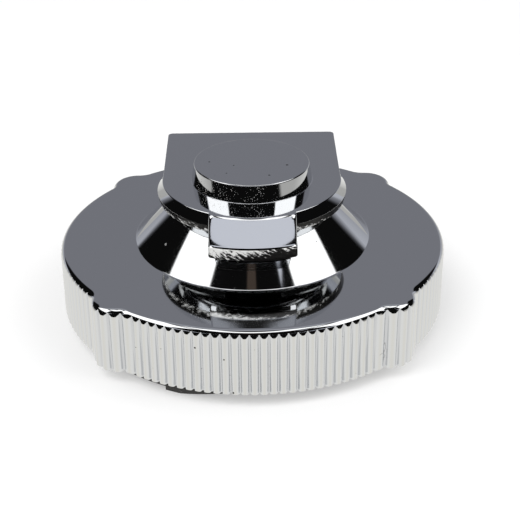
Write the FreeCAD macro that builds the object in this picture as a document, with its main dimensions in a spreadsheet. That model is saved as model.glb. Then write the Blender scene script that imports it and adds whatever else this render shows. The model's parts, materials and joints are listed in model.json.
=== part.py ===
# Locking fuel cap: chrome-plated casting with a ribbed, lobed skirt, a flip-up key cover,
# a key lock whose spiral cam drives two bolts, and a black bayonet ring underneath.
# Origin on the cap's axis at the plane it rests on, +Z up, finger tab towards -Y.

import FreeCAD, Part
import Sketcher
import math
import os
import re

from FreeCAD import Placement, Rotation, Vector

doc = FreeCAD.newDocument("locking_fuel_cap")

X_AXIS = Vector(1, 0, 0)
Z_AXIS = Vector(0, 0, 1)
MATCH = 0.01

# Driving dimensions in millimetres and degrees
SIZES = [
    ("skirt_height", "16.6", "skirt foot to the flat top"),
    ("skirt_wall", "3.0", "rib crest to the inside of the skirt"),
    ("skirt_lift", "3.6", "rest plane to the skirt foot"),
    ("edge_radius", "2.0", "rounding of the top edge"),
    ("edge_overhang", "0.1", "rounded top edge outside the rib crests"),
    ("bump_count", "4", "finger bumps round the skirt"),
    ("bump_height", "2.7", "bump crest outside the rib crests"),
    ("bump_radius", "6.5", "convex crest of a bump"),
    ("bump_blend", "4.0", "concave foot of a bump"),
    ("bump_half_angle", "9.63", "half of the arc that a bump takes"),
    ("ribs_per_bump", "6", "ribs over a bump"),
    ("ribs_per_arc", "27", "ribs between two bumps"),
    ("rib_depth", "0.55", "depth of the grooves between ribs"),
    ("top_wall", "3.0", "thickness of the flat top"),
    ("cone_base_radius", "29.5", "boss radius at the flat top"),
    ("cone_top_radius", "17.5", "boss radius at its upper face"),
    ("cone_height", "12.0", "boss height over the flat top"),
    ("cone_blend", "0.35", "blend at the foot of the boss"),
    ("cone_core_radius", "16.0", "cored space inside the boss"),
    ("cone_core_depth", "6.0", "cored ring above the nut space"),
    ("cover_rest_radius", "17.0", "ring on the boss that the closed cover sits over"),
    ("cover_rest_wall", "1.6", "width of that ring"),
    ("cover_rest_height", "1.0", "height of that ring and of the barrel flange"),
    ("cover_lift", "11.0", "flat top to the underside of the key cover"),
    ("cover_rim_height", "2.0", "rough cast lower band of the cover"),
    ("cover_side_height", "2.6", "smooth flared side of the cover"),
    ("cover_half_width", "22.0", "half width and front radius of the cover's top"),
    ("cover_behind_hinge", "2.0", "hinge line to the straight back edge of the cover's top"),
    ("cover_flare", "1.4", "round front of the cover flares out to its widest line"),
    ("cover_undercut", "0.4", "lower band falls back from the widest line"),
    ("cover_wall", "2.4", "wall and roof of the cover"),
    ("cover_corner", "1.2", "rounding of the cover's two back corners"),
    ("cover_edge", "0.5", "rounding of the cover's top edges"),
    ("disc_base_radius", "15.0", "raised disc where it leaves the cover"),
    ("disc_top_radius", "14.2", "raised disc at its flat top"),
    ("disc_height", "4.4", "raised disc over the cover"),
    ("tab_width", "20.5", "finger tab from side to side"),
    ("tab_top_radius", "23.1", "tab face at the cover's top, from the axis"),
    ("tab_foot_radius", "28.2", "tab face at its lower edge, from the axis"),
    ("tab_thickness", "2.6", "tab thickness, measured level"),
    ("tab_lift", "7.1", "flat top to the tab's lower edge"),
    ("hinge_back", "27.0", "axis to the hinge line"),
    ("hinge_lift", "7.2", "flat top to the hinge line"),
    ("hinge_pin_radius", "1.5", "hinge pin"),
    ("hinge_eye_radius", "3.0", "hinge knuckles and ears"),
    ("hinge_knuckle_width", "12.0", "cover knuckle between the ears"),
    ("hinge_ear_width", "4.4", "each ear on the boss"),
    ("hinge_side_play", "0.15", "knuckle to ear"),
    ("pin_end", "0.6", "pin end standing out of an ear"),
    ("running_clearance", "0.05", "round running fits, on the radius"),
    ("slide_clearance", "0.08", "flat sliding fits, each side"),
    ("screw_clearance", "0.05", "screws in their holes, on the radius"),
    ("drop_in_clearance", "0.1", "pieces dropped into their seats"),
    ("reach_past", "1.0", "cutting and joining blocks reach past the faces they meet"),
    ("barrel_radius", "10.0", "outside of the lock barrel"),
    ("barrel_flange_reach", "2.2", "flange on top of the barrel, outside its body"),
    ("barrel_length", "19.6", "barrel from flange top to foot"),
    ("seal_width", "1.4", "barrel seal, radial"),
    ("seal_height", "1.2", "barrel seal, upright"),
    ("nut_wall", "2.8", "ring nut under the boss, outside the barrel"),
    ("nut_height", "3.4", "ring nut thickness"),
    ("nut_slot_width", "2.6", "spanner slots of the ring nut"),
    ("nut_slot_depth", "1.4", "spanner slots of the ring nut"),
    ("nut_slot_count", "6", "spanner slots of the ring nut"),
    ("plug_radius", "7.0", "key plug"),
    ("plug_head_radius", "8.2", "head of the key plug"),
    ("plug_head_height", "1.4", "head of the key plug"),
    ("plug_recess", "0.2", "plug face below the barrel face"),
    ("keyway_width", "2.2", "key slot"),
    ("keyway_length", "8.8", "key slot"),
    ("keyway_floor", "2.0", "solid end under the key slot"),
    ("wafer_count", "5", "tumbler plates"),
    ("wafer_pitch", "2.6", "tumbler spacing"),
    ("wafer_thickness", "1.0", "tumbler plate"),
    ("wafer_width", "5.0", "tumbler plate"),
    ("wafer_half_length", "6.3", "tumbler plate as the key holds it"),
    ("wafer_window_width", "2.6", "key window of a tumbler"),
    ("wafer_window_length", "6.4", "key window of a tumbler"),
    ("wafer_chamber_depth", "1.6", "barrel groove that a tumbler springs into"),
    ("tail_radius", "4.6", "plug tail under the barrel"),
    ("tail_groove_radius", "3.8", "clip groove in the plug tail"),
    ("clip_radius", "8.4", "retaining clip"),
    ("clip_thickness", "0.7", "retaining clip"),
    ("clip_mouth", "5.4", "opening of the retaining clip"),
    ("drive_square", "5.0", "square on the plug tail that turns the cam"),
    ("cam_radius", "13.4", "cam disc"),
    ("cam_thickness", "2.5", "cam disc"),
    ("cam_chamber_radius", "14.2", "space that the cam disc turns in"),
    ("cam_under_clip", "1.02", "cam disc below the retaining clip"),
    ("cam_over_bolt", "0.5", "cam disc above the bolts"),
    ("cam_turn", "90", "key turn from locked to open"),
    ("cam_screw_radius", "1.5", "screw that holds the cam disc"),
    ("cam_screw_head_radius", "3.2", "head of that screw"),
    ("cam_screw_head_height", "2.1", "head of that screw"),
    ("cam_screw_length", "3.6", "shank of that screw"),
    ("bolt_pin_radius", "1.5", "follower pin on a bolt"),
    ("bolt_pin_reach", "11.0", "axis to the pin, bolts out"),
    ("bolt_pin_margin", "1.8", "pin centre to the inner end of the bolt"),
    ("bolt_travel", "5.0", "stroke of a bolt"),
    ("bolt_width", "10.0", "bolt across"),
    ("bolt_thickness", "3.2", "bolt, upright"),
    ("bolt_tip_chamfer", "0.8", "chamfer on the bolt's tip"),
    ("housing_radius", "26.5", "lock housing, which goes inside the filler neck"),
    ("neck_room", "8.3", "room for the neck and the thrown bolts between housing and lugs"),
    ("plate_rim", "2.3", "rim of the housing round the cover plate"),
    ("plate_thickness", "2.4", "cover plate under the bolts"),
    ("housing_screw_inset", "4.6", "housing screws inside the plate's edge"),
    ("housing_screw_count", "4", "housing screws"),
    ("screw_radius", "2.0", "shank of the housing screws"),
    ("sunk_head_radius", "3.7", "countersunk head of a housing screw"),
    ("sunk_head_height", "2.0", "countersunk head of a housing screw"),
    ("housing_screw_bite", "5.0", "housing screw inside the casting"),
    ("housing_seal_inset", "1.1", "seal ring on top of the housing, inside its edge"),
    ("housing_seal_width", "1.2", "seal ring on top of the housing"),
    ("housing_seal_height", "1.0", "seal ring on top of the housing"),
    ("slot_width", "0.9", "driver slots in the screw heads"),
    ("slot_depth", "0.8", "driver slots in the screw heads"),
    ("vent_inset", "5.0", "vent valve inside the plate's edge, towards the tab"),
    ("vent_pocket_radius", "3.6", "pocket of the vent valve"),
    ("vent_pocket_height", "7.0", "pocket of the vent valve"),
    ("vent_port_radius", "1.6", "air passage of the vent valve"),
    ("vent_slot_depth", "1.6", "air slot across the top of the housing"),
    ("vent_poppet_radius", "3.0", "vent poppet"),
    ("vent_poppet_thickness", "1.2", "vent poppet"),
    ("vent_stem_radius", "0.9", "stem of the vent poppet"),
    ("vent_retainer_height", "1.0", "washer that guides the stem"),
    ("vent_wire_radius", "0.3", "wire of the vent spring"),
    ("vent_coil_radius", "1.9", "coil of the vent spring"),
    ("vent_coil_turns", "3", "turns of the vent spring"),
    ("breather_radius", "1.0", "air hole through the boss under the cover"),
    ("breather_reach", "13.7", "axis to that air hole"),
    ("ring_gap", "0.2", "bayonet ring inside the skirt, on the radius"),
    ("ring_wall", "6.6", "wall of the bayonet ring"),
    ("ring_foot", "2.6", "rest plane to the plain lower edge of the ring"),
    ("lip_reach", "1.4", "lip that traps the gasket, inside the ring's wall"),
    ("lip_height", "1.8", "lip that traps the gasket"),
    ("lug_count", "3", "bayonet lugs"),
    ("lug_reach", "3.6", "lugs inside the ring's wall"),
    ("lug_top", "8.0", "rest plane to the upper face of a lug"),
    ("lug_start", "205", "where a lug begins"),
    ("lug_step", "242.5", "where the foot of a lug steps down"),
    ("lug_ramp_start", "247.5", "where the foot of a lug starts to rise"),
    ("lug_end", "268", "where a lug ends"),
    ("lug_shallow", "1.0", "rest plane to the shallow half of a lug"),
    ("lug_ramp_angle", "9.4", "rise of the lug's foot"),
    ("lug_lead_angle", "6.0", "lead-in slope on the lug's upper face"),
    ("lug_lead_end", "218", "where the lead-in slope ends"),
    ("lug_stop_arc", "4.0", "arc of the stop at the end of a lug"),
    ("lug_stop_drop", "1.8", "gasket lip down to the top of that stop"),
    ("ring_screw_azimuth", "225", "first ring screw"),
    ("ring_screw_radius", "1.5", "shank of the ring screws"),
    ("ring_screw_bite", "3.8", "ring screw inside the casting"),
    ("ring_screw_wall", "1.0", "casting between a ring screw and the gasket's well"),
    ("pan_head_radius", "2.7", "head of a ring screw"),
    ("pan_head_height", "2.0", "head of a ring screw"),
    ("pan_head_recess", "0.5", "head of a ring screw inside its hole"),
    ("gasket_gap", "0.2", "gasket in its well and round the housing"),
    ("gasket_rim", "2.8", "rim of the gasket that the ring traps"),
    ("bead_inset", "0.6", "gasket's sealing face inside the lip"),
    ("bead_height", "1.2", "sealing face below the gasket's rim"),
]

# Heights and radii that follow from the driving dimensions
LEVELS = [
    ("flat_top", "=Sizes.skirt_lift + Sizes.skirt_height", "flat top of the cap"),
    ("ceiling", "=flat_top - Sizes.top_wall", "underside of the flat top"),
    ("lug_inner_radius", "=Sizes.housing_radius + Sizes.neck_room", "inside of the lugs"),
    ("ring_inner_radius", "=lug_inner_radius + Sizes.lug_reach", "inside of the bayonet ring"),
    ("lip_radius", "=ring_inner_radius - Sizes.lip_reach", "inside of the gasket lip"),
    ("ring_outer_radius", "=ring_inner_radius + Sizes.ring_wall", "outside of the bayonet ring"),
    ("skirt_inner_radius", "=ring_outer_radius + Sizes.ring_gap", "inside of the skirt"),
    ("skirt_radius", "=skirt_inner_radius + Sizes.skirt_wall", "axis to the rib crests on the plain arcs"),
    ("plate_radius", "=Sizes.housing_radius - Sizes.plate_rim", "cover plate under the bolts"),
    ("housing_screw_circle", "=plate_radius - Sizes.housing_screw_inset", "axis to the housing screws"),
    ("housing_seal_radius", "=Sizes.housing_radius - Sizes.housing_seal_inset", "outside of the seal"),
    ("vent_offset", "=plate_radius - Sizes.vent_inset", "axis to the vent valve"),
    ("cover_back", "=Sizes.hinge_back + Sizes.cover_behind_hinge", "axis to the cover's back edge"),
    ("ring_screw_circle", "=(ring_inner_radius + ring_outer_radius) / 2", "axis to the ring screws"),
    ("well_radius", "=ring_screw_circle - Sizes.ring_screw_radius - Sizes.ring_screw_wall", "gasket's well"),
    ("ring_top", "=ceiling - Sizes.gasket_rim", "top of the bayonet ring"),
    ("cone_top", "=flat_top + Sizes.cone_height", "upper face of the boss"),
    ("lock_face", "=cone_top + Sizes.cover_rest_height", "face of the lock barrel"),
    ("cover_foot", "=flat_top + Sizes.cover_lift", "underside of the key cover"),
    ("cover_widest", "=cover_foot + Sizes.cover_rim_height", "widest line of the key cover"),
    ("cover_top", "=cover_widest + Sizes.cover_side_height", "top of the key cover"),
    ("cover_roof", "=cover_top - Sizes.cover_wall", "inside of the key cover's roof"),
    ("disc_top", "=cover_top + Sizes.disc_height", "top of the raised disc"),
    ("hinge_level", "=flat_top + Sizes.hinge_lift", "hinge line"),
    ("barrel_foot", "=lock_face - Sizes.barrel_length", "foot of the lock barrel"),
    ("barrel_flange_radius", "=Sizes.barrel_radius + Sizes.barrel_flange_reach", "flange of the barrel"),
    ("nut_radius", "=Sizes.barrel_radius + Sizes.nut_wall", "outside of the ring nut"),
    ("seal_foot", "=cone_top - Sizes.seal_height - Sizes.drop_in_clearance", "recess of the barrel seal"),
    ("nut_top", "=ceiling + Sizes.nut_height + 4 * Sizes.drop_in_clearance", "nut against the boss"),
    ("clip_top", "=barrel_foot - 2 * Sizes.drop_in_clearance", "top of the retaining clip"),
    ("cam_top", "=clip_top - Sizes.clip_thickness - Sizes.cam_under_clip", "top of the cam disc"),
    ("cam_foot", "=cam_top - Sizes.cam_thickness", "underside of the cam disc"),
    ("bolt_top", "=cam_foot - Sizes.cam_over_bolt", "top of the bolts"),
    ("bolt_foot", "=bolt_top - Sizes.bolt_thickness", "underside of the bolts"),
    ("channel_top", "=bolt_top + Sizes.slide_clearance", "roof of the bolt channel"),
    ("plate_top", "=bolt_foot - Sizes.slide_clearance", "top of the cover plate"),
    ("housing_foot", "=plate_top - Sizes.plate_thickness", "underside of the housing"),
    ("plug_top", "=lock_face - Sizes.plug_recess", "face of the key plug"),
    ("plug_head_foot", "=plug_top - Sizes.plug_head_height", "shoulder that the plug's head stands on"),
    ("vent_seat", "=plate_top + Sizes.vent_pocket_height", "seat of the vent poppet"),
    ("vent_spring_foot", "=plate_top + Sizes.vent_retainer_height", "top of the vent's washer"),
    ("vent_spring_top", "=vent_seat - Sizes.vent_poppet_thickness", "underside of the vent poppet's disc"),
    ("vent_stem_foot", "=plate_top + Sizes.vent_retainer_height / 2", "foot of the vent's stem"),
    ("gasket_inner_radius", "=Sizes.housing_radius + Sizes.gasket_gap", "inside of the gasket"),
    ("gasket_outer_radius", "=well_radius - Sizes.gasket_gap", "outside of the gasket's rim"),
    ("bead_radius", "=lip_radius - Sizes.bead_inset", "outside of the gasket's sealing face"),
    ("seal_face", "=ring_top - Sizes.bead_height", "face that the filler neck meets"),
    ("lip_foot", "=ring_top - Sizes.lip_height", "underside of the gasket lip"),
    ("ring_counterbore", "=Sizes.lug_shallow + Sizes.pan_head_recess + Sizes.pan_head_height", "screw seat"),
]


# Sheets, bound sizes and simple solids

def fill_sheet(name, rows):
    sheet = doc.addObject("Spreadsheet::Sheet", name)
    for row, (alias, content, meaning) in enumerate(rows, start=1):
        sheet.set(f"A{row}", meaning)
        sheet.set(f"B{row}", content)
        sheet.setAlias(f"B{row}", alias)
    doc.recompute()
    return sheet


sizes = fill_sheet("Sizes", SIZES)
levels = fill_sheet("Levels", LEVELS)
OWNER_OF_NAME = {row[0]: "Sizes" for row in SIZES}
OWNER_OF_NAME.update({row[0]: "Levels" for row in LEVELS})


def formula(text):
    """Text with each size's name written with its sheet, as an expression needs it."""
    def with_sheet(match):
        word = match.group(0)
        return f"{OWNER_OF_NAME[word]}.{word}" if word in OWNER_OF_NAME else word
    return re.sub(r"[a-z][a-z0-9_]*", with_sheet, str(text))


def number(text):
    """Value of a formula now, for shapes that are made in code."""
    result = sizes.evalExpression(formula(text))
    return float(getattr(result, "Value", result))


def bind(item, target, text):
    item.setExpression(target, formula(text))


def place(item, across="0", along="0", level="0"):
    for target, text in (("x", across), ("y", along), ("z", level)):
        bind(item, f"Placement.Base.{target}", text)
    return item


def cylinder(name, radius, foot, top, across="0", along="0"):
    solid = doc.addObject("Part::Cylinder", name)
    bind(solid, "Radius", radius)
    bind(solid, "Height", f"({top}) - ({foot})")
    return place(solid, across, along, foot)


def cone(name, foot_radius, top_radius, foot, top, across="0", along="0"):
    solid = doc.addObject("Part::Cone", name)
    bind(solid, "Radius1", foot_radius)
    bind(solid, "Radius2", top_radius)
    bind(solid, "Height", f"({top}) - ({foot})")
    return place(solid, across, along, foot)


def box(name, x_span, y_span, z_span):
    solid = doc.addObject("Part::Box", name)
    for target, span in (("Length", x_span), ("Width", y_span), ("Height", z_span)):
        bind(solid, target, f"({span[1]}) - ({span[0]})")
    return place(solid, x_span[0], y_span[0], z_span[0])


def centred(width):
    return f"-({width}) / 2", f"({width}) / 2"


def fuse(name, solids):
    joined = doc.addObject("Part::MultiFuse", name)
    joined.Shapes = solids
    return joined


def common(name, solids):
    shared = doc.addObject("Part::MultiCommon", name)
    shared.Shapes = solids
    return shared


def cut(name, base, tools):
    result = doc.addObject("Part::Cut", name)
    result.Base = base
    result.Tool = tools[0] if len(tools) == 1 else fuse(name + "_tools", tools)
    return result


def tube(name, outer, inner, foot, top, across="0", along="0"):
    """Ring with a square section."""
    outside = cylinder(name + "_outside", outer, foot, top, across, along)
    inside = cylinder(name + "_inside", inner, foot, top, across, along)
    return cut(name, outside, [inside])


def group(name, solids):
    several = doc.addObject("Part::Compound", name)
    several.Links = solids
    return several


def made_shape(name, shape):
    feature = doc.addObject("Part::Feature", name)
    feature.Shape = shape
    return feature


def cylinder_along_x(name, radius, x_span, along, level):
    solid = doc.addObject("Part::Cylinder", name)
    solid.Placement = Placement(Vector(), Rotation(Vector(0, 1, 0), 90))
    bind(solid, "Radius", radius)
    bind(solid, "Height", f"({x_span[1]}) - ({x_span[0]})")
    return place(solid, x_span[0], along, level)


def on_circle(circle, azimuth):
    return f"({circle}) * cos({azimuth})", f"({circle}) * sin({azimuth})"


def revolved(name, outline):
    """Body turned about Z from a closed outline of (radius, height) formulas."""
    body = doc.addObject("PartDesign::Body", name + "_body")
    plane = next(item for item in body.Origin.OriginFeatures if item.Role == "XZ_Plane")
    sketch = body.newObject("Sketcher::SketchObject", name + "_section")
    sketch.AttachmentSupport = [(plane, "")]
    sketch.MapMode = "FlatFace"
    corners = [Vector(number(radius), number(level), 0) for radius, level in outline]
    for index, corner in enumerate(corners):
        following = corners[(index + 1) % len(corners)]
        sketch.addGeometry(Part.LineSegment(corner, following), False)
    for index, (radius, level) in enumerate(outline):
        following = (index + 1) % len(outline)
        sketch.addConstraint(Sketcher.Constraint("Coincident", index, 2, following, 1))
        for kind, letter, text in (("DistanceX", "x", radius), ("DistanceY", "z", level)):
            label = f"{letter}_{index}"
            sketch.addConstraint(Sketcher.Constraint(kind, -1, 1, index, 1, number(text)))
            sketch.renameConstraint(sketch.ConstraintCount - 1, label)
            bind(sketch, f"Constraints.{label}", text)
    turn = body.newObject("PartDesign::Revolution", name + "_turn")
    turn.Profile = sketch
    turn.ReferenceAxis = (sketch, ["V_Axis"])
    turn.Angle = 360
    return body


def stacked(name, rings):
    """Solid with straight sides between closed outlines, given as pairs of outline and level."""
    sections = []
    for index, (outline, level) in enumerate(rings, start=1):
        ring = made_shape(f"{name}_ring_{index}", outline)
        bind(ring, "Placement.Base.z", level)
        sections.append(ring)
    loft = doc.addObject("Part::Loft", name)
    loft.Sections = sections
    loft.Solid = True
    loft.Ruled = True
    return loft


# Outline of the skirt: plain arcs, concave bump feet and convex bumps

BUMPS = int(number("bump_count"))
BUMP_SPACING = 360 / BUMPS
BUMP_AZIMUTHS = [BUMP_SPACING * (index + 0.5) for index in range(BUMPS)]


def polar(radius, azimuth):
    angle = math.radians(azimuth)
    return Vector(radius * math.cos(angle), radius * math.sin(angle), 0)


def arc_about_axis(radius, start, end):
    return Part.Arc(polar(radius, start), polar(radius, (start + end) / 2), polar(radius, end)).toShape()


def bump_edges(azimuth, outset):
    """Edges over one bump, from one end of its arc to the other, moved out by the outset."""
    main = number("skirt_radius") + outset
    crest = number("bump_radius") + outset
    blend = number("bump_blend") - outset
    crest_reach = number("skirt_radius + bump_height - bump_radius")
    crest_centre = polar(crest_reach, azimuth)
    foot_reach = main + blend
    cosine = (foot_reach ** 2 + crest_reach ** 2 - (crest + blend) ** 2) / (2 * foot_reach * crest_reach)
    foot_angle = math.degrees(math.acos(cosine))
    half = number("bump_half_angle")
    edges = [arc_about_axis(main, azimuth - half, azimuth - foot_angle)]
    tangents = []
    for side in (-1, 1):
        foot_centre = polar(foot_reach, azimuth + side * foot_angle)
        to_crest = (crest_centre - foot_centre).normalize()
        to_axis = (Vector() - foot_centre).normalize()
        on_main = polar(main, azimuth + side * foot_angle)
        on_crest = foot_centre + to_crest * blend
        middle = foot_centre + (to_crest + to_axis).normalize() * blend
        tangents.append((on_main, middle, on_crest))
    (first_main, first_middle, first_crest), (last_main, last_middle, last_crest) = tangents
    edges.append(Part.Arc(first_main, first_middle, first_crest).toShape())
    summit = polar(crest_reach + crest, azimuth)
    edges.append(Part.Arc(first_crest, summit, last_crest).toShape())
    edges.append(Part.Arc(last_crest, last_middle, last_main).toShape())
    edges.append(arc_about_axis(main, azimuth + foot_angle, azimuth + half))
    return edges


def skirt_outline(outset):
    """Smooth closed outline of the skirt."""
    main = number("skirt_radius") + outset
    half = number("bump_half_angle")
    edges = []
    for azimuth in BUMP_AZIMUTHS:
        edges += bump_edges(azimuth, outset)
        edges.append(arc_about_axis(main, azimuth + half, azimuth + BUMP_SPACING - half))
    return Part.Wire(edges)


STEPS_PER_RIB = 4


def ribbed_outline():
    """Closed outline with a flat-crested rib on each equal step of the smooth outline."""
    depth = number("rib_depth")
    half = number("bump_half_angle")
    ribs_per_bump = int(number("ribs_per_bump"))
    ribs_per_arc = int(number("ribs_per_arc"))
    corners = []
    for azimuth in BUMP_AZIMUTHS:
        over_bump = Part.Wire(bump_edges(azimuth, 0)).discretize(Number=STEPS_PER_RIB * ribs_per_bump + 1)
        plain = arc_about_axis(number("skirt_radius"), azimuth + half, azimuth + BUMP_SPACING - half)
        over_arc = plain.discretize(Number=STEPS_PER_RIB * ribs_per_arc + 1)
        for steps in (over_bump, over_arc):
            for index in range(0, len(steps) - 1, STEPS_PER_RIB):
                groove = steps[index]
                corners.append(groove - Vector(groove).normalize() * depth)
                corners.append(steps[index + 1])
                corners.append(steps[index + STEPS_PER_RIB - 1])
    return Part.makePolygon(corners + corners[:1])


def block(name, outline, foot, top):
    """Upright solid over a flat outline."""
    face = made_shape(name + "_outline", Part.Face(outline))
    solid = doc.addObject("Part::Extrusion", name)
    solid.Base = face
    solid.DirMode = "Custom"
    solid.Dir = Z_AXIS
    solid.Solid = True
    bind(solid, "LengthFwd", f"({top}) - ({foot})")
    bind(solid, "Placement.Base.z", foot)
    return solid


# Chrome-plated casting

def hinge_ear(index, side):
    inner = "hinge_knuckle_width / 2 + hinge_side_play"
    outer = f"{inner} + hinge_ear_width"
    span = (inner, outer) if side > 0 else (f"-({outer})", f"-({inner})")
    eye = cylinder_along_x(f"ear_eye_{index}", "hinge_eye_radius", span, "hinge_back", "hinge_level")
    y_span = ("hinge_back - hinge_eye_radius", "hinge_back + hinge_eye_radius")
    post = box(f"ear_post_{index}", span, y_span, ("flat_top - top_wall / 2", "hinge_level"))
    return [eye, post]


EDGE_ANGLES = (0, 30, 60, 90)

rib_block = block("rib_block", ribbed_outline(), "skirt_lift", "flat_top")
round_rings = [(skirt_outline(number("edge_overhang")), "skirt_lift")]
for angle in EDGE_ANGLES:
    inset = number(f"edge_radius * (1 - cos({angle}))")
    level = f"flat_top - edge_radius * (1 - sin({angle}))"
    round_rings.append((skirt_outline(number("edge_overhang") - inset), level))
round_top = stacked("round_top", round_rings)
skirt = common("skirt", [rib_block, round_top])
boss = cone("boss", "cone_base_radius", "cone_top_radius", "flat_top", "cone_top")
boss_foot = cone("boss_foot", "cone_base_radius + cone_blend", "cone_base_radius - cone_blend * cos(45)",
                 "flat_top", "flat_top + cone_blend * sin(45)")
rest_ring = tube("rest_ring", "cover_rest_radius", "cover_rest_radius - cover_rest_wall",
                 "cone_top", "lock_face")
casting = fuse("casting", [skirt, boss, boss_foot, rest_ring] + hinge_ear(1, -1) + hinge_ear(2, 1))

HOUSING_SCREWS = int(number("housing_screw_count"))
HOUSING_SCREW_AZIMUTHS = [f"{360 * (index + 0.5) / HOUSING_SCREWS}" for index in range(HOUSING_SCREWS)]
LUGS = int(number("lug_count"))
LUG_TURNS = [360 * index / LUGS for index in range(LUGS)]
RING_SCREW_AZIMUTHS = [f"ring_screw_azimuth + {turn}" for turn in LUG_TURNS]


def screw_holes(name, circle, azimuths, radius, foot, top):
    holes = []
    for index, azimuth in enumerate(azimuths, start=1):
        across, along = on_circle(circle, azimuth)
        holes.append(cylinder(f"{name}_{index}", radius, foot, top, across, along))
    return holes


ear_reach = "hinge_knuckle_width / 2 + hinge_side_play + hinge_ear_width"
pin_span = (f"-({ear_reach}) - pin_end", f"{ear_reach} + pin_end")
hollows = [
    cylinder("skirt_cavity", "skirt_inner_radius", "skirt_lift - reach_past", "ring_top"),
    cylinder("gasket_well", "well_radius", "skirt_lift", "ceiling"),
    cylinder("nut_space", "cone_core_radius", "ring_top", "nut_top"),
    tube("boss_core", "cone_core_radius", "nut_radius", "nut_top", "nut_top + cone_core_depth"),
    cylinder("barrel_bore", "barrel_radius + drop_in_clearance", "ceiling", "cone_top + reach_past"),
    cylinder("seal_seat", "barrel_radius + seal_width + drop_in_clearance", "seal_foot",
             "cone_top + reach_past"),
    cylinder("breather", "breather_radius", "nut_top", "cone_top + reach_past", "0", "-breather_reach"),
    cylinder_along_x("pin_bore", "hinge_pin_radius", pin_span, "hinge_back", "hinge_level"),
]
hollows += screw_holes("housing_screw_tap", "housing_screw_circle", HOUSING_SCREW_AZIMUTHS,
                       "screw_radius + screw_clearance", "ceiling - reach_past",
                       "ceiling + housing_screw_bite + drop_in_clearance")
hollows += screw_holes("ring_screw_tap", "ring_screw_circle", RING_SCREW_AZIMUTHS,
                       "ring_screw_radius + screw_clearance", "ring_top - reach_past",
                       "ring_top + ring_screw_bite + drop_in_clearance")
cap_body = cut("cap_body", casting, hollows)

# Flip-up key cover with its raised disc, finger tab and hinge knuckle


def cover_outline(widen):
    """Half circle in front, straight sides and a straight back with round corners."""
    half = number("cover_half_width") + widen
    back = number("cover_back") + widen
    corner = number("cover_corner")
    slant = corner * (1 - math.sqrt(0.5))
    right = Part.LineSegment(Vector(half, 0, 0), Vector(half, back - corner, 0))
    back_edge = Part.LineSegment(Vector(half - corner, back, 0), Vector(corner - half, back, 0))
    left = Part.LineSegment(Vector(-half, back - corner, 0), Vector(-half, 0, 0))
    front = Part.Arc(Vector(-half, 0, 0), Vector(0, -half, 0), Vector(half, 0, 0))
    right_corner = Part.Arc(right.EndPoint, Vector(half - slant, back - slant, 0), back_edge.StartPoint)
    left_corner = Part.Arc(back_edge.EndPoint, Vector(slant - half, back - slant, 0), left.StartPoint)
    pieces = [front, right, right_corner, back_edge, left_corner, left]
    return Part.Wire([piece.toShape() for piece in pieces])


cover_block = stacked("cover_block", [
    (cover_outline(0), "cover_foot"),
    (cover_outline(0), "cover_top - cover_edge"),
    (cover_outline(-number("cover_edge")), "cover_top"),
])
flare_at_edge = "cover_half_width + cover_flare * cover_edge / cover_side_height"
round_front = [
    cone("cover_band", "cover_half_width + cover_flare - cover_undercut", "cover_half_width + cover_flare",
         "cover_foot", "cover_widest"),
    cone("cover_side", "cover_half_width + cover_flare", flare_at_edge, "cover_widest", "cover_top - cover_edge"),
    cone("cover_rounding", flare_at_edge, "cover_half_width - cover_edge", "cover_top - cover_edge", "cover_top"),
]
disc_side = cone("disc_side", "disc_base_radius", "disc_top_radius", "cover_top", "disc_top - cover_edge")
disc_edge = cone("disc_edge", "disc_top_radius", "disc_top_radius - cover_edge",
                 "disc_top - cover_edge", "disc_top")
tab_foot = "flat_top + tab_lift"
tab_face = cone("tab_face", "tab_foot_radius", "tab_top_radius", tab_foot, "cover_top")
tab_back = cone("tab_back", "tab_foot_radius - tab_thickness", "tab_top_radius - tab_thickness",
                tab_foot, "cover_top")
tab_width = box("tab_width_block", centred("tab_width"), ("-tab_foot_radius - reach_past", "-tab_width / 2"),
                (tab_foot, "cover_top"))
tab = common("tab", [cut("tab_ring", tab_face, [tab_back]), tab_width])
knuckle_span = centred("hinge_knuckle_width")
knuckle = cylinder_along_x("knuckle", "hinge_eye_radius", knuckle_span, "hinge_back", "hinge_level")
knuckle_arm = box("knuckle_arm", knuckle_span,
                  ("hinge_back - hinge_eye_radius", "cover_back"),
                  ("hinge_level", "cover_roof + cover_edge"))
pocket_levels = ("cover_foot - reach_past", "cover_roof")
pocket = stacked("pocket", [(cover_outline(number("-cover_wall")), level) for level in pocket_levels])
disc_hollow = cylinder("disc_hollow", "barrel_flange_radius", "cover_foot", "disc_top - cover_wall")
cover_and_disc = fuse("cover_and_disc", [cover_block, disc_side, disc_edge] + round_front)
cover_tray = cut("cover_tray", cover_and_disc, [pocket, disc_hollow])
knuckle_bore = cylinder_along_x("knuckle_bore", "hinge_pin_radius + running_clearance",
                                (f"-({ear_reach})", ear_reach), "hinge_back", "hinge_level")
cover_blank = fuse("cover_blank", [cover_tray, tab, knuckle, knuckle_arm])
key_cover = cut("key_cover", cover_blank, [knuckle_bore])
hinge_pin = cylinder_along_x("hinge_pin", "hinge_pin_radius", pin_span, "hinge_back", "hinge_level")

# Lock barrel, its seal and the ring nut that clamps it in the boss

WAFERS = int(number("wafer_count"))
WAFER_FOOTS = [f"plug_head_foot - {index + 1} * wafer_pitch" for index in range(WAFERS)]
wafer_stack_foot = f"plug_head_foot - {WAFERS} * wafer_pitch - drop_in_clearance"
wafer_stack_top = "plug_head_foot - wafer_pitch + wafer_thickness + drop_in_clearance"

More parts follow.
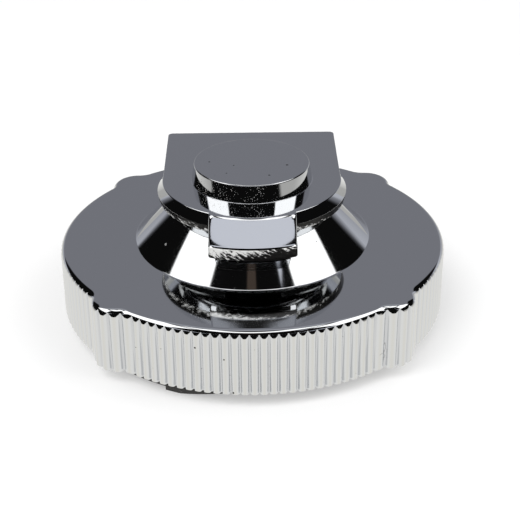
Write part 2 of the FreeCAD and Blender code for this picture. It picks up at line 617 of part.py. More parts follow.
barrel_turning = revolved("barrel_turning", [
    ("plug_radius + running_clearance", "barrel_foot"),
    ("barrel_radius", "barrel_foot"),
    ("barrel_radius", "cone_top"),
    ("barrel_flange_radius", "cone_top"),
    ("barrel_flange_radius", "lock_face"),
    ("plug_head_radius + running_clearance", "lock_face"),
    ("plug_head_radius + running_clearance", "plug_head_foot"),
    ("plug_radius + running_clearance", "plug_head_foot"),
])
wafer_chamber = box("wafer_chamber", centred("wafer_width + 4 * drop_in_clearance"),
                    centred("2 * (plug_radius + wafer_chamber_depth)"), (wafer_stack_foot, wafer_stack_top))
lock_barrel = cut("lock_barrel", barrel_turning, [wafer_chamber])
barrel_seal = revolved("barrel_seal", [
    ("barrel_radius + drop_in_clearance / 2", "seal_foot + drop_in_clearance"),
    ("barrel_radius + seal_width", "seal_foot + drop_in_clearance"),
    ("barrel_radius + seal_width", "cone_top"),
    ("barrel_radius + drop_in_clearance / 2", "cone_top"),
])
nut_blank = revolved("nut_blank", [
    ("barrel_radius + drop_in_clearance / 2", "nut_top - nut_height"),
    ("nut_radius", "nut_top - nut_height"),
    ("nut_radius", "nut_top"),
    ("barrel_radius + drop_in_clearance / 2", "nut_top"),
])


def turned_box(name, azimuth, x_span, y_span, z_span):
    """Box turned about the cap's axis."""
    solid = box(name, x_span, y_span, z_span)
    doc.recompute()
    corner = Vector(*(number(span[0]) for span in (x_span, y_span, z_span)))
    turn = Placement(Vector(), Rotation(Z_AXIS, azimuth))
    for target in ("x", "y"):
        solid.setExpression(f"Placement.Base.{target}", None)
    solid.Placement = turn.multiply(Placement(corner, Rotation()))
    return solid


NUT_SLOTS = int(number("nut_slot_count"))
nut_slot_reach = ("nut_radius - nut_slot_depth", "nut_radius + reach_past")
nut_slot_boxes = [
    turned_box(f"nut_slot_{index + 1}", 360 * index / NUT_SLOTS, nut_slot_reach,
               centred("nut_slot_width"), ("nut_top - nut_height", "nut_top"))
    for index in range(NUT_SLOTS)
]
barrel_nut = cut("barrel_nut", nut_blank, nut_slot_boxes)

# Key plug with its tumblers, clip, cam disc and cam screw

tail_foot = "clip_top - clip_thickness - 4 * drop_in_clearance"
plug_turning = revolved("plug_turning", [
    ("0", tail_foot),
    ("tail_radius", tail_foot),
    ("tail_radius", "clip_top - clip_thickness - drop_in_clearance"),
    ("tail_groove_radius", "clip_top - clip_thickness - drop_in_clearance"),
    ("tail_groove_radius", "clip_top + drop_in_clearance"),
    ("tail_radius", "clip_top + drop_in_clearance"),
    ("tail_radius", "barrel_foot"),
    ("plug_radius", "barrel_foot"),
    ("plug_radius", "plug_head_foot"),
    ("plug_head_radius", "plug_head_foot"),
    ("plug_head_radius", "plug_top"),
    ("0", "plug_top"),
])
drive = box("drive", centred("drive_square"), centred("drive_square"), ("cam_foot", "clip_top"))
keyway = box("keyway", centred("keyway_width"), centred("keyway_length"),
             ("barrel_foot + keyway_floor", "lock_face"))
wafer_slots = [
    box(f"wafer_slot_{index}", centred("wafer_width + 2 * drop_in_clearance"),
        centred("2 * (plug_radius + reach_past)"),
        (f"{foot} - drop_in_clearance / 2", f"{foot} + wafer_thickness + drop_in_clearance / 2"))
    for index, foot in enumerate(WAFER_FOOTS, start=1)
]
cam_screw_tap = cylinder("cam_screw_tap", "cam_screw_radius + screw_clearance", "cam_foot - reach_past",
                         "cam_foot + cam_screw_length + drop_in_clearance")
lock_plug = cut("lock_plug", fuse("plug_blank", [plug_turning, drive]), [keyway, cam_screw_tap] + wafer_slots)
wafer_plates = []
for index, foot in enumerate(WAFER_FOOTS, start=1):
    span = (foot, f"{foot} + wafer_thickness")
    plate = box(f"wafer_plate_{index}", centred("wafer_width"), centred("2 * wafer_half_length"), span)
    window = box(f"wafer_window_{index}", centred("wafer_window_width"), centred("wafer_window_length"), span)
    wafer_plates.append(cut(f"wafer_{index}", plate, [window]))
lock_wafers = group("lock_wafers", wafer_plates)
clip_foot = "clip_top - clip_thickness"
clip_ring = tube("clip_ring", "clip_radius", "tail_groove_radius + drop_in_clearance / 2",
                 clip_foot, "clip_top")
clip_gap = box("clip_gap", centred("clip_mouth"), ("0", "clip_radius + reach_past"), (clip_foot, "clip_top"))
plug_clip = cut("plug_clip", clip_ring, [clip_gap])

SPIRAL_STEPS = 8


def spiral_slot(start_azimuth):
    """Slot of even width along a spiral, so that each degree of turn moves a pin by the same amount."""
    turn = math.radians(number("cam_turn"))
    outer = number("bolt_pin_reach")
    drop = number("bolt_travel") / turn
    half_width = number("bolt_pin_radius + slide_clearance")
    first = math.radians(start_azimuth)
    sides = {1: [], -1: []}
    for step in range(SPIRAL_STEPS + 1):
        angle = turn * step / SPIRAL_STEPS
        radius = outer - drop * angle
        outward = Vector(math.cos(first + angle), math.sin(first + angle), 0)
        onward = Vector(-math.sin(first + angle), math.cos(first + angle), 0)
        centre = outward * radius
        along = (onward * radius - outward * drop).normalize()
        across = Vector(along.y, -along.x, 0)
        for side, points in sides.items():
            points.append(centre + across * (side * half_width))
        if step == 0:
            start_tip = centre - along * half_width
    end_tip = centre + along * half_width
    curves = {}
    for side, points in sides.items():
        curves[side] = Part.BSplineCurve()
        curves[side].interpolate(points)
    edges = [
        curves[1].toShape(),
        Part.Arc(sides[1][-1], end_tip, sides[-1][-1]).toShape(),
        curves[-1].toShape(),
        Part.Arc(sides[-1][0], start_tip, sides[1][0]).toShape(),
    ]
    return Part.Wire(Part.__sortEdges__(edges))


cam_slots = [block(f"cam_slot_{index}", spiral_slot(azimuth), "cam_foot - reach_past", "cam_top + reach_past")
             for index, azimuth in ((1, 0), (2, 180))]
cam_square = box("cam_square", centred("drive_square + drop_in_clearance"),
                 centred("drive_square + drop_in_clearance"), ("cam_foot", "cam_top"))
cam_blank = cylinder("cam_blank", "cam_radius", "cam_foot", "cam_top")
cam_disc = cut("cam_disc", cam_blank, cam_slots + [cam_square])


def slotted_head_screw(name, head, shank, across, along, head_foot, head_radius):
    """Screw with a driver slot across its head, head downwards."""
    half_length = f"({head_radius} + reach_past)"
    slot = box(name + "_slot", (f"{across} - {half_length}", f"{across} + {half_length}"),
               (f"{along} - slot_width / 2", f"{along} + slot_width / 2"),
               (head_foot, f"{head_foot} + slot_depth"))
    return cut(name, fuse(name + "_blank", [head, shank]), [slot])


cam_screw_foot = "cam_foot - cam_screw_head_height"
cam_screw = slotted_head_screw(
    "cam_screw",
    cylinder("cam_screw_head", "cam_screw_head_radius", cam_screw_foot, "cam_foot"),
    cylinder("cam_screw_shank", "cam_screw_radius", "cam_foot", "cam_foot + cam_screw_length"),
    "0", "0", cam_screw_foot, "cam_screw_head_radius")

# Sliding bolts


def lock_bolt(name, azimuth):
    """Flat bolt with a follower pin and a chamfered tip, pointing along one azimuth."""
    side = 1 if azimuth == 0 else -1
    reach = "housing_radius + bolt_travel"
    near = "bolt_pin_reach - bolt_pin_margin"
    span = (near, reach) if side > 0 else (f"-({reach})", f"-({near})")
    bar = box(f"{name}_bar", span, centred("bolt_width"), ("bolt_foot", "bolt_top"))
    tip = number(reach) * side

    def is_tip_edge(edge):
        middle = edge.CenterOfMass
        return abs(middle.x - tip) < MATCH and edge.BoundBox.ZLength > MATCH

    doc.recompute()
    chamfered = doc.addObject("Part::Chamfer", f"{name}_chamfered")
    chamfered.Base = bar
    size = number("bolt_tip_chamfer")
    picked = [index for index, edge in enumerate(bar.Shape.Edges, start=1) if is_tip_edge(edge)]
    chamfered.Edges = [(index, size, size) for index in picked]
    pin = cylinder(f"{name}_pin", "bolt_pin_radius", "bolt_foot", "cam_top - cam_over_bolt",
                   f"{side} * bolt_pin_reach")
    return fuse(name, [chamfered, pin])


right_bolt = lock_bolt("right_bolt", 0)
left_bolt = lock_bolt("left_bolt", 180)

# Lock housing, its seal, cover plate and screws

channel_half = "bolt_width / 2 + slide_clearance"
housing_blank = cylinder("housing_blank", "housing_radius", "housing_foot", "ceiling")
housing_seal_inner = "housing_seal_radius - housing_seal_width"
seal_groove = tube("seal_groove", "housing_seal_radius + drop_in_clearance / 2",
                   f"{housing_seal_inner} - drop_in_clearance / 2", "ceiling - housing_seal_height", "ceiling")
housing_hollows = [
    cylinder("plate_recess", "plate_radius + drop_in_clearance", "housing_foot", "plate_top"),
    box("bolt_channel", centred("2 * (housing_radius + reach_past)"), (f"-({channel_half})", channel_half),
        ("housing_foot", "channel_top")),
    cylinder("cam_chamber", "cam_chamber_radius", "channel_top", "ceiling"),
    seal_groove,
    cylinder("vent_pocket", "vent_pocket_radius", "housing_foot", "vent_seat", "0", "-vent_offset"),
    cylinder("vent_port", "vent_port_radius", "vent_seat", "ceiling", "0", "-vent_offset"),
    box("vent_slot", centred("2 * vent_port_radius"),
        ("-vent_offset", "-cone_core_radius + vent_port_radius"), ("ceiling - vent_slot_depth", "ceiling")),
]
housing_hollows += screw_holes("housing_screw_hole", "housing_screw_circle", HOUSING_SCREW_AZIMUTHS,
                               "screw_radius + screw_clearance", "plate_top", "ceiling")
lock_housing = cut("lock_housing", housing_blank, housing_hollows)
housing_seal = tube("housing_seal", "housing_seal_radius", housing_seal_inner,
                    "ceiling - housing_seal_height", "ceiling")
plate_vent_hole = cylinder("plate_vent_hole", "vent_port_radius", "housing_foot", "plate_top",
                           "0", "-vent_offset")
plate_holes = [plate_vent_hole]
housing_screw_solids = []
for index, azimuth in enumerate(HOUSING_SCREW_AZIMUTHS, start=1):
    across, along = on_circle("housing_screw_circle", azimuth)
    head_top = "housing_foot + sunk_head_height"
    plate_holes.append(cone(f"sunk_seat_{index}", "sunk_head_radius + screw_clearance",
                            "screw_radius + screw_clearance", "housing_foot", head_top, across, along))
    plate_holes.append(cylinder(f"plate_screw_hole_{index}", "screw_radius + screw_clearance", "housing_foot",
                                "plate_top", across, along))
    housing_screw_solids.append(fuse(f"housing_screw_{index}", [
        cone(f"housing_screw_head_{index}", "sunk_head_radius", "screw_radius", "housing_foot", head_top,
             across, along),
        cylinder(f"housing_screw_shank_{index}", "screw_radius", head_top, "ceiling + housing_screw_bite",
                 across, along),
    ]))
plate_blank = cylinder("plate_blank", "plate_radius", "housing_foot", "plate_top")
cover_plate = cut("cover_plate", plate_blank, plate_holes)
housing_screws = group("housing_screws", housing_screw_solids)

# Vent valve

SPRING_STEPS = 12
WIRE_SIDES = 6

vent_disc = cylinder("vent_disc", "vent_poppet_radius", "vent_spring_top", "vent_seat", "0", "-vent_offset")
vent_stem = cylinder("vent_stem", "vent_stem_radius", "vent_stem_foot", "vent_spring_top", "0", "-vent_offset")
vent_poppet = fuse("vent_poppet", [vent_disc, vent_stem])
vent_retainer = tube("vent_retainer", "vent_pocket_radius - running_clearance",
                     "vent_stem_radius + running_clearance", "plate_top", "vent_spring_foot",
                     "0", "-vent_offset")


def coil_spring(wire_radius, coil_radius, height, turns):
    """Six-sided wire along a helix that fills the given height, standing on Z = 0."""
    rise = height - 2 * wire_radius
    steps = SPRING_STEPS * turns
    sections = []
    for step in range(steps + 1):
        turn = Rotation(Z_AXIS, 360 * step / SPRING_STEPS)
        centre = Vector(0, 0, wire_radius + rise * step / steps)
        corners = []
        for side in range(WIRE_SIDES + 1):
            angle = 2 * math.pi * side / WIRE_SIDES
            corner = Vector(coil_radius + wire_radius * math.cos(angle), 0, wire_radius * math.sin(angle))
            corners.append(turn.multVec(corner) + centre)
        sections.append(Part.makePolygon(corners))
    return Part.makeLoft(sections, True, True)


vent_spring = made_shape("vent_spring", coil_spring(
    number("vent_wire_radius"), number("vent_coil_radius"), number("vent_spring_top - vent_spring_foot"),
    int(number("vent_coil_turns"))))
place(vent_spring, "0", "-vent_offset", "vent_spring_foot")

# Bayonet ring with its lugs, gasket and ring screws


def sector(name, inner, outer, start, end, foot, top):
    """Part of a ring between two azimuths."""
    wedges = []
    for suffix, radius in (("outside", outer), ("inside", inner)):
        solid = doc.addObject("Part::Cylinder", f"{name}_{suffix}")
        solid.Placement = Placement(Vector(), Rotation(Z_AXIS, number(start)))
        bind(solid, "Radius", radius)
        bind(solid, "Height", f"({top}) - ({foot})")
        bind(solid, "Angle", f"({end}) - ({start})")
        bind(solid, "Placement.Base.z", foot)
        wedges.append(solid)
    return cut(name, wedges[0], [wedges[1]])


def ramp_cutter(name, azimuth, tilt, level, below):
    """Block with one face on a plane that rises along the ring from a radial line."""
    solid = doc.addObject("Part::Box", name)
    bind(solid, "Length", "ring_outer_radius + ring_top")
    bind(solid, "Width", "ring_outer_radius")
    bind(solid, "Height", "ring_top")
    corner = Vector(0, 0, -number("ring_top")) if below else Vector(0, -number("ring_outer_radius"), 0)
    turn = Placement(Vector(0, 0, number(level)), Rotation(Z_AXIS, number(azimuth)))
    slope = Placement(Vector(), Rotation(X_AXIS, number(tilt)))
    solid.Placement = turn.multiply(slope).multiply(Placement(corner, Rotation()))
    return solid


def bayonet_lug(index, turn):
    def at(angle):
        return f"{angle} + {turn}"

    body = sector(f"lug_body_{index}", "lug_inner_radius", "ring_outer_radius",
                  at("lug_start"), at("lug_end"), "0", "lug_top")
    shallow = sector(f"lug_shallow_{index}", "lug_inner_radius - reach_past",
                     "ring_outer_radius + reach_past", at("lug_start - lug_stop_arc"), at("lug_step"),
                     "-reach_past", "lug_shallow")
    rise = ramp_cutter(f"lug_rise_{index}", at("lug_ramp_start"), "lug_ramp_angle", "0", True)
    lead = ramp_cutter(f"lug_lead_{index}", at("lug_lead_end"), "lug_lead_angle", "lug_top", False)
    stop = sector(f"lug_stop_{index}", "lug_inner_radius", "ring_inner_radius + reach_past",
                  at("lug_end - lug_stop_arc"), at("lug_end"),
                  "lug_top - reach_past", "lip_foot - lug_stop_drop")
    return [cut(f"lug_{index}", body, [shallow, rise, lead]), stop]


ring_section = revolved("ring_section", [
    ("ring_inner_radius", "ring_foot"),
    ("ring_outer_radius", "ring_foot"),
    ("ring_outer_radius", "ring_top"),
    ("lip_radius", "ring_top"),
    ("lip_radius", "lip_foot"),
    ("ring_inner_radius", "lip_foot"),
])
ring_solids = [ring_section]
for index, turn in enumerate(LUG_TURNS, start=1):
    ring_solids += bayonet_lug(index, turn)
ring_hollows = screw_holes("ring_screw_hole", "ring_screw_circle", RING_SCREW_AZIMUTHS,
                           "ring_screw_radius + screw_clearance", "0", "ring_top")
ring_hollows += screw_holes("ring_screw_seat", "ring_screw_circle", RING_SCREW_AZIMUTHS,
                            "pan_head_radius + 2 * screw_clearance", "0", "ring_counterbore")
bayonet_ring = cut("bayonet_ring", fuse("ring_blank", ring_solids), ring_hollows)
ring_screw_solids = []
for index, azimuth in enumerate(RING_SCREW_AZIMUTHS, start=1):
    across, along = on_circle("ring_screw_circle", azimuth)
    head_foot = "ring_counterbore - pan_head_height"
    ring_screw_solids.append(slotted_head_screw(
        f"ring_screw_{index}",
        cylinder(f"ring_screw_head_{index}", "pan_head_radius", head_foot, "ring_counterbore", across, along),
        cylinder(f"ring_screw_shank_{index}", "ring_screw_radius", "ring_counterbore",
                 "ring_top + ring_screw_bite", across, along),
        across, along, head_foot, "pan_head_radius"))
ring_screws = group("ring_screws", ring_screw_solids)
gasket = revolved("gasket", [
    ("gasket_inner_radius", "seal_face"),
    ("bead_radius", "seal_face"),
    ("bead_radius", "ring_top"),
    ("gasket_outer_radius", "ring_top"),
    ("gasket_outer_radius", "ceiling"),
    ("gasket_inner_radius", "ceiling"),
])

# Labels, checks and files

NODES = {
    "cap_body": cap_body,
    "key_cover": key_cover,
    "hinge_pin": hinge_pin,
    "lock_barrel": lock_barrel,
    "barrel_seal": barrel_seal,
    "barrel_nut": barrel_nut,
    "lock_plug": lock_plug,
    "lock_wafers": lock_wafers,
    "plug_clip": plug_clip,
    "cam_disc": cam_disc,
    "cam_screw": cam_screw,
    "right_bolt": right_bolt,
    "left_bolt": left_bolt,
    "lock_housing": lock_housing,
    "housing_seal": housing_seal,
    "cover_plate": cover_plate,
    "housing_screws": housing_screws,
    "vent_poppet": vent_poppet,
    "vent_spring": vent_spring,
    "vent_retainer": vent_retainer,
    "bayonet_ring": bayonet_ring,
    "ring_screws": ring_screws,
    "gasket": gasket,
}
for node, item in NODES.items():
    item.Label = node
doc.recompute()
for item in doc.Objects:
    if "Invalid" in item.State or "Error" in item.State:
        raise RuntimeError(f"{item.Name} did not build: {item.State}")
for node, item in NODES.items():
    if item.Shape.isNull() or not item.Shape.isValid() or not item.Shape.Solids:
        raise RuntimeError(f"{node} is not a valid solid")
os.makedirs("parts", exist_ok=True)
for node, item in NODES.items():
    item.Shape.exportStep(f"parts/{node}.step")
    print(f"{node}: {len(item.Shape.Solids)} solids, {item.Shape.Volume:.1f} mm3")
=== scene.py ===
"""Looks of a locking fuel cap, built round its CAD frame: castings, lock, bolts, ring and stage."""

import json
import math
import random

import bmesh
import bpy
import numpy as np
from bpy.props import FloatProperty, FloatVectorProperty, IntProperty, PointerProperty
from mathutils import Matrix, Quaternion, Vector


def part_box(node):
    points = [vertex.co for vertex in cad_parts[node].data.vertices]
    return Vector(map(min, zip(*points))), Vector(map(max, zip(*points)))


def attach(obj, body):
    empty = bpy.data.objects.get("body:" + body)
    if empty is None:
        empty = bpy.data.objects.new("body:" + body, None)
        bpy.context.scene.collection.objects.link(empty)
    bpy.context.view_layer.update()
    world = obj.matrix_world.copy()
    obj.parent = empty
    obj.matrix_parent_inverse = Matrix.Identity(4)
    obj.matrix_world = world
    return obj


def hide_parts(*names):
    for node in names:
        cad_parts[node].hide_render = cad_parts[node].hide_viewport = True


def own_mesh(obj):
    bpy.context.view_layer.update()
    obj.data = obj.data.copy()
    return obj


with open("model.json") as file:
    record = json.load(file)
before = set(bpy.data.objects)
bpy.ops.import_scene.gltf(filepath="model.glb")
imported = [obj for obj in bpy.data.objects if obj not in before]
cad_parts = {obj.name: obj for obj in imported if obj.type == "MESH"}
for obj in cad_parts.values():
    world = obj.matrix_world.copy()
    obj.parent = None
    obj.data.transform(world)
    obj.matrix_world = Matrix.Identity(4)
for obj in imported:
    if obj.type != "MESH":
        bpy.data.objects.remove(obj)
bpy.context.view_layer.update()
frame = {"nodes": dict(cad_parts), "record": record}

bl_info = {
    "name": "Locking fuel cap",
    "version": (1, 0, 0),
    "blender": (4, 5, 0),
    "location": "View3D > Sidebar > Fuel cap",
    "description": "Builds the looks of a chrome locking fuel cap round its CAD frame",
    "category": "Object",
}

MM = 0.001
ROUND_STEPS = 4
HINGE_COLUMNS = 48


def length(name, description, millimetres):
    return FloatProperty(name=name, description=description, default=millimetres * MM, unit="LENGTH")


def angle(name, description, degrees):
    return FloatProperty(name=name, description=description, default=math.radians(degrees),
                         subtype="ANGLE")


def colour(name, description, red, green, blue):
    return FloatVectorProperty(name=name, description=description, default=(red, green, blue), size=3,
                               min=0, max=1, subtype="COLOR")


def position(name, description, *millimetres):
    return FloatVectorProperty(name=name, description=description, size=3, subtype="TRANSLATION",
                               default=[value * MM for value in millimetres])


def level(node, side):
    """Height of a CAD node's foot (side 0) or top (side 1) in millimetres."""
    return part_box(node)[side].z / MM


class SkirtSizes(bpy.types.PropertyGroup):
    crest_radius: length("Crest radius", "Axis to the rib crests", 48.2)
    foot_level: length("Foot level", "Foot of the skirt", level("cap_body", 0))
    flat_level: length("Flat level", "Flat top of the cap", level("cap_body", 0) + 16.6)
    inner_radius: length("Inner radius", "Inside of the skirt", 45.2)
    edge_radius: length("Edge radius", "Rounding of the top edge", 2.0)
    foot_rounding: length("Foot rounding", "Rounding of the foot of the ribs", 0.25)
    lobe_height: length("Lobe height", "Lobe crest outside the rib crests", 2.7)
    lobe_radius: length("Lobe radius", "Convex crest of a lobe", 6.5)
    lobe_blend: length("Lobe blend", "Concave foot of a lobe", 4.0)
    lobe_half_angle: angle("Lobe half angle", "Half of the arc that a lobe takes", 9.63)
    ribs_per_lobe: IntProperty(name="Ribs on a lobe", description="Ribs over one lobe", default=6)
    ribs_per_arc: IntProperty(name="Ribs on an arc", description="Ribs between two lobes", default=27)
    groove_depth_top: length("Groove depth at the top", "Grooves where they run out at the edge", 0.42)
    groove_depth_foot: length("Groove depth at the foot", "Grooves at the foot of the skirt", 0.78)
    groove_width: length("Groove width", "One groove from shoulder to shoulder", 0.94)
    groove_width_top: length("Groove width at the top", "Groove where it runs out at the edge", 0.5)
    crest_camber: length("Crest camber", "Radius of a rib's round crest", 1.6)


class BossSizes(bpy.types.PropertyGroup):
    foot_radius: length("Foot radius", "Cone at the flat top", 29.5)
    top_radius: length("Top radius", "Cone at its upper face", 17.5)
    height: length("Height", "Cone over the flat top", 12.0)
    blend: length("Blend", "Fillet at the foot of the cone", 0.8)
    rest_radius: length("Rest radius", "Ring under the closed cover", 17.0)
    rest_wall: length("Rest wall", "Width of that ring", 1.6)
    rest_height: length("Rest height", "Height of that ring", 1.0)
    breather_radius: length("Breather radius", "Air hole under the cover", 1.0)
    breather_reach: length("Breather reach", "Axis to the air hole", 13.7)
    hinge_back: length("Hinge back", "Axis to the hinge line", 27.0)
    hinge_level: length("Hinge level", "Height of the hinge line", 27.4)
    eye_radius: length("Eye radius", "Hinge ears and knuckle", 3.0)
    pin_radius: length("Pin radius", "Hinge pin", 1.5)
    knuckle_width: length("Knuckle width", "Knuckle of the cover between the ears", 12.0)
    ear_width: length("Ear width", "One ear of the cap", 4.4)
    side_play: length("Side play", "Knuckle to ear", 0.15)


class CoverSizes(bpy.types.PropertyGroup):
    half_width: length("Half width", "Half width of the cover's top", 22.0)
    back: length("Back", "Axis to the straight back edge", 29.0)
    corner: length("Corner", "Rounding of the back corners", 1.2)
    foot_level: length("Foot level", "Underside of the cover", 31.2)
    band_height: length("Band height", "Rough lower band", 2.0)
    side_height: length("Side height", "Smooth flared side", 2.6)
    flare: length("Flare", "Round front flares out to its widest line", 1.4)
    undercut: length("Undercut", "Band falls back from the widest line", 0.4)
    wall: length("Wall", "Wall and roof", 2.4)
    edge: length("Edge", "Rounding of the top edges", 0.45)
    disc_foot_radius: length("Disc foot radius", "Raised disc at its foot", 15.0)
    disc_top_radius: length("Disc top radius", "Raised disc at its top", 14.2)
    disc_height: length("Disc height", "Raised disc over the cover", 4.4)
    hollow_radius: length("Hollow radius", "Space under the disc", 12.2)
    tab_half_width: length("Tab half width", "Half of the finger tab's width", 10.45)
    tab_top_radius: length("Tab top radius", "Tab face at the cover's top", 23.1)
    tab_foot_radius: length("Tab foot radius", "Tab face at its lower edge", 28.2)
    tab_foot_level: length("Tab foot level", "Lower edge of the tab", 27.3)
    tab_thickness: length("Tab thickness", "Tab, measured level", 2.6)
    tab_band_height: length("Tab band height", "Rough trimmed band of the tab", 2.2)
    tab_edge: length("Tab edge", "Rounding of the tab's upright edges", 0.5)


class FinishColours(bpy.types.PropertyGroup):
    chrome: colour("Chrome", "Bright plating", 0.79, 0.8, 0.81)
    # Painted shade: the rib crests get a slightly darker, warmer tone for the shaded floor that they
    # reflect.
    painted_crest_shade: colour("Painted crest shade", "Painted shade on the rib crests for the shaded floor that they reflect", 0.77, 0.765, 0.74)
    # Painted shade: a darker blue-grey in the grooves between the ribs, where the ribs shade and
    # reflect each other.
    painted_groove_shade: colour("Painted groove shade", "Painted shade in the grooves between the ribs", 0.7, 0.71, 0.73)
    cast_chrome: colour("Cast chrome", "Plating over a rough trimmed edge", 0.93, 0.93, 0.91)
    # Dark grime along the file marks, together with painted dark reflection on the filed edges of tab
    # and cover.
    grime_and_painted_reflection: colour("Grime and painted reflection", "Dark grime along the file marks and painted dark reflection on the filed edge", 0.05, 0.048, 0.045)
    speck: colour("Speck", "Pits and dirt in the plating", 0.05, 0.045, 0.04)
    dust: colour("Dust", "Fine pale specks on the raised disc's side", 0.33, 0.3, 0.28)
    steel: colour("Steel", "Bright steel", 0.6, 0.6, 0.61)
    nickel: colour("Nickel", "Satin nickel", 0.7, 0.68, 0.63)
    rubber: colour("Rubber", "Moulded black rubber", 0.022, 0.022, 0.023)
    brass: colour("Brass", "Turned brass", 0.7, 0.5, 0.22)
    zinc: colour("Zinc", "Zinc-plated steel", 0.62, 0.62, 0.6)
    casting: colour("Casting", "Bare light alloy", 0.42, 0.43, 0.44)
    plastic: colour("Plastic", "White plastic", 0.78, 0.77, 0.72)
    coat: colour("Coat", "Black coat of the bayonet ring", 0.018, 0.017, 0.016)
    coat_wear: colour("Coat wear", "Rubbed edges of the black coat", 0.11, 0.105, 0.1)
    oxide: colour("Oxide", "Black oxide screws", 0.035, 0.034, 0.034)
    floor: colour("Floor", "Pale floor", 0.93, 0.93, 0.93)


class StageSizes(bpy.types.PropertyGroup):
    lens: FloatProperty(name="Lens", description="Focal length in millimetres on a 36 mm sensor",
                        default=90.0)
    camera_place: position("Camera place", "Where the camera stands", -0.8, -293.2, 170.2)
    camera_aim: position("Camera aim", "Point that the camera looks at", 1.86, -0.02, 12.59)
    camera_roll: angle("Camera roll", "Turn of the camera about its line of sight", -0.5)
    floor_radius: length("Floor radius", "Round floor", 3000.0)


GROUPS = {"cap_skirt": SkirtSizes, "cap_boss": BossSizes, "cap_cover": CoverSizes,
          "cap_finish": FinishColours, "cap_stage": StageSizes}


# Shader maths


class Socket:
    """A node's output that can be used in sums."""

    def __init__(self, net, output):
        self.net = net
        self.output = output

    def joined(self, operation, *others):
        values = dict(enumerate((self, *others)))
        return self.net.node("ShaderNodeMath", {"operation": operation}, values)

    def __add__(self, other):
        return self.joined("ADD", other)

    __radd__ = __add__

    def __mul__(self, other):
        return self.joined("MULTIPLY", other)

    __rmul__ = __mul__

    def __sub__(self, other):
        return self.joined("SUBTRACT", other)

    def __rsub__(self, other):
        return self.net.node("ShaderNodeMath", {"operation": "SUBTRACT"}, {0: other, 1: self})

    def __gt__(self, other):
        return self.joined("GREATER_THAN", other)

    def __lt__(self, other):
        return self.joined("LESS_THAN", other)

    def most(self, other):
        return self.joined("MAXIMUM", other)

    def absolute(self):
        return self.joined("ABSOLUTE")

    def clamped_to(self, low, high):
        return self.net.node("ShaderNodeClamp", {}, {"Value": self, "Min": low, "Max": high})

    def between(self, low, high):
        """0 at low, 1 at high and a smooth step from one to the other."""
        return self.net.node("ShaderNodeMapRange", {"interpolation_type": "SMOOTHSTEP"}, {
            "Value": self, "From Min": low, "From Max": high})


class Net:
    """Nodes of a material or a world, built up from nothing."""

    def __init__(self, owner):
        self.owner = owner
        owner.use_nodes = True
        self.tree = owner.node_tree
        self.tree.nodes.clear()

    def node(self, kind, settings, values, output=0):
        made = self.tree.nodes.new(kind)
        for key, value in settings.items():
            setattr(made, key, value)
        for key, value in values.items():
            if isinstance(value, Socket):
                self.tree.links.new(value.output, made.inputs[key])
            else:
                made.inputs[key].default_value = value
        return Socket(self, made.outputs[output]) if made.outputs else None

    def mixed_shaders(self, factor, first, second):
        return self.node("ShaderNodeMixShader", {}, {"Fac": factor, 1: first, 2: second})

    def ray(self, kind):
        """1 for rays of a kind, such as Is Camera Ray."""
        return self.node("ShaderNodeLightPath", {}, {}, kind)

    def shown(self, kind, shader):
        self.node(kind, {}, {"Surface": shader})
        return self.owner


# Colour sockets of a Mix node
MIX_FIRST = 6
MIX_SECOND = 7
MIX_RESULT = 2


class Finish(Net):
    """One material with its principled shader."""

    def __init__(self, name, base, **constants):
        super().__init__(bpy.data.materials.new(name))
        surface = self.node("ShaderNodeBsdfPrincipled", {}, {"Base Color": (*base, 1)})
        self.shader = surface.output.node
        self.shown("ShaderNodeOutputMaterial", surface)
        for key, value in constants.items():
            self.shader.inputs[key.title()].default_value = value

    def feed(self, name, value):
        self.tree.links.new(value.output, self.shader.inputs[name])

    def place(self):
        """Where a point of the surface is, in metres."""
        return self.node("ShaderNodeTexCoord", {}, {}, "Object")

    def parts(self, vector):
        return [Socket(self, output) for output in self.node("ShaderNodeSeparateXYZ", {}, {
            0: vector}).output.node.outputs]

    def apart(self, place, point):
        """How far the surface is from a point given in millimetres."""
        return self.node("ShaderNodeVectorMath", {"operation": "DISTANCE"}, {
            0: place, 1: [value * MM for value in point]}, "Value")

    def axis_distance(self, place):
        level_place = self.node("ShaderNodeVectorMath", {"operation": "MULTIPLY"}, {
            0: place, 1: (1.0, 1.0, 0.0)})
        return self.node("ShaderNodeVectorMath", {"operation": "LENGTH"}, {0: level_place}, "Value")

    def noise(self, vector, per_metre, detail=3.0, roughness=0.55):
        return self.node("ShaderNodeTexNoise", {}, {
            "Vector": vector, "Scale": per_metre, "Detail": detail, "Roughness": roughness})

    def dots(self, vector, per_metre, radius, share):
        """Small round dots in some of the cells of a grid, 1 inside a dot."""
        near = self.node("ShaderNodeTexVoronoi", {}, {"Vector": vector, "Scale": per_metre}, "Distance")
        chance = self.parts(Socket(self, near.output.node.outputs["Color"]))
        return (1 - near.between(radius * 0.5, radius)) * (chance[0] < share)

    def mixed(self, factor, *colours):
        """Colour that goes from the first to the second."""
        first, second = (shade if isinstance(shade, Socket) else (*shade, 1) for shade in colours)
        return self.node("ShaderNodeMix", {"data_type": "RGBA"}, {
            "Factor": factor, MIX_FIRST: first, MIX_SECOND: second}, MIX_RESULT)

    def raise_by(self, height, distance, strength):
        self.feed("Normal", self.node("ShaderNodeBump", {}, {
            "Height": height, "Distance": distance, "Strength": strength}))


# Heights and distances on the cap in metres
# Top of the painted shade on the rib crests and in the grooves
PAINTED_RIB_SHADE_TOP = 0.0192
DISC_SIDE = (0.0359, 0.0401)
DISC_SIDE_RADIUS = 0.0138
DISC_FRONT = -0.004
TAB_BAND_TOP = 0.03
TAB_BAND_MIDDLE = 0.0285
COVER_BAND_MIDDLE = 0.0321
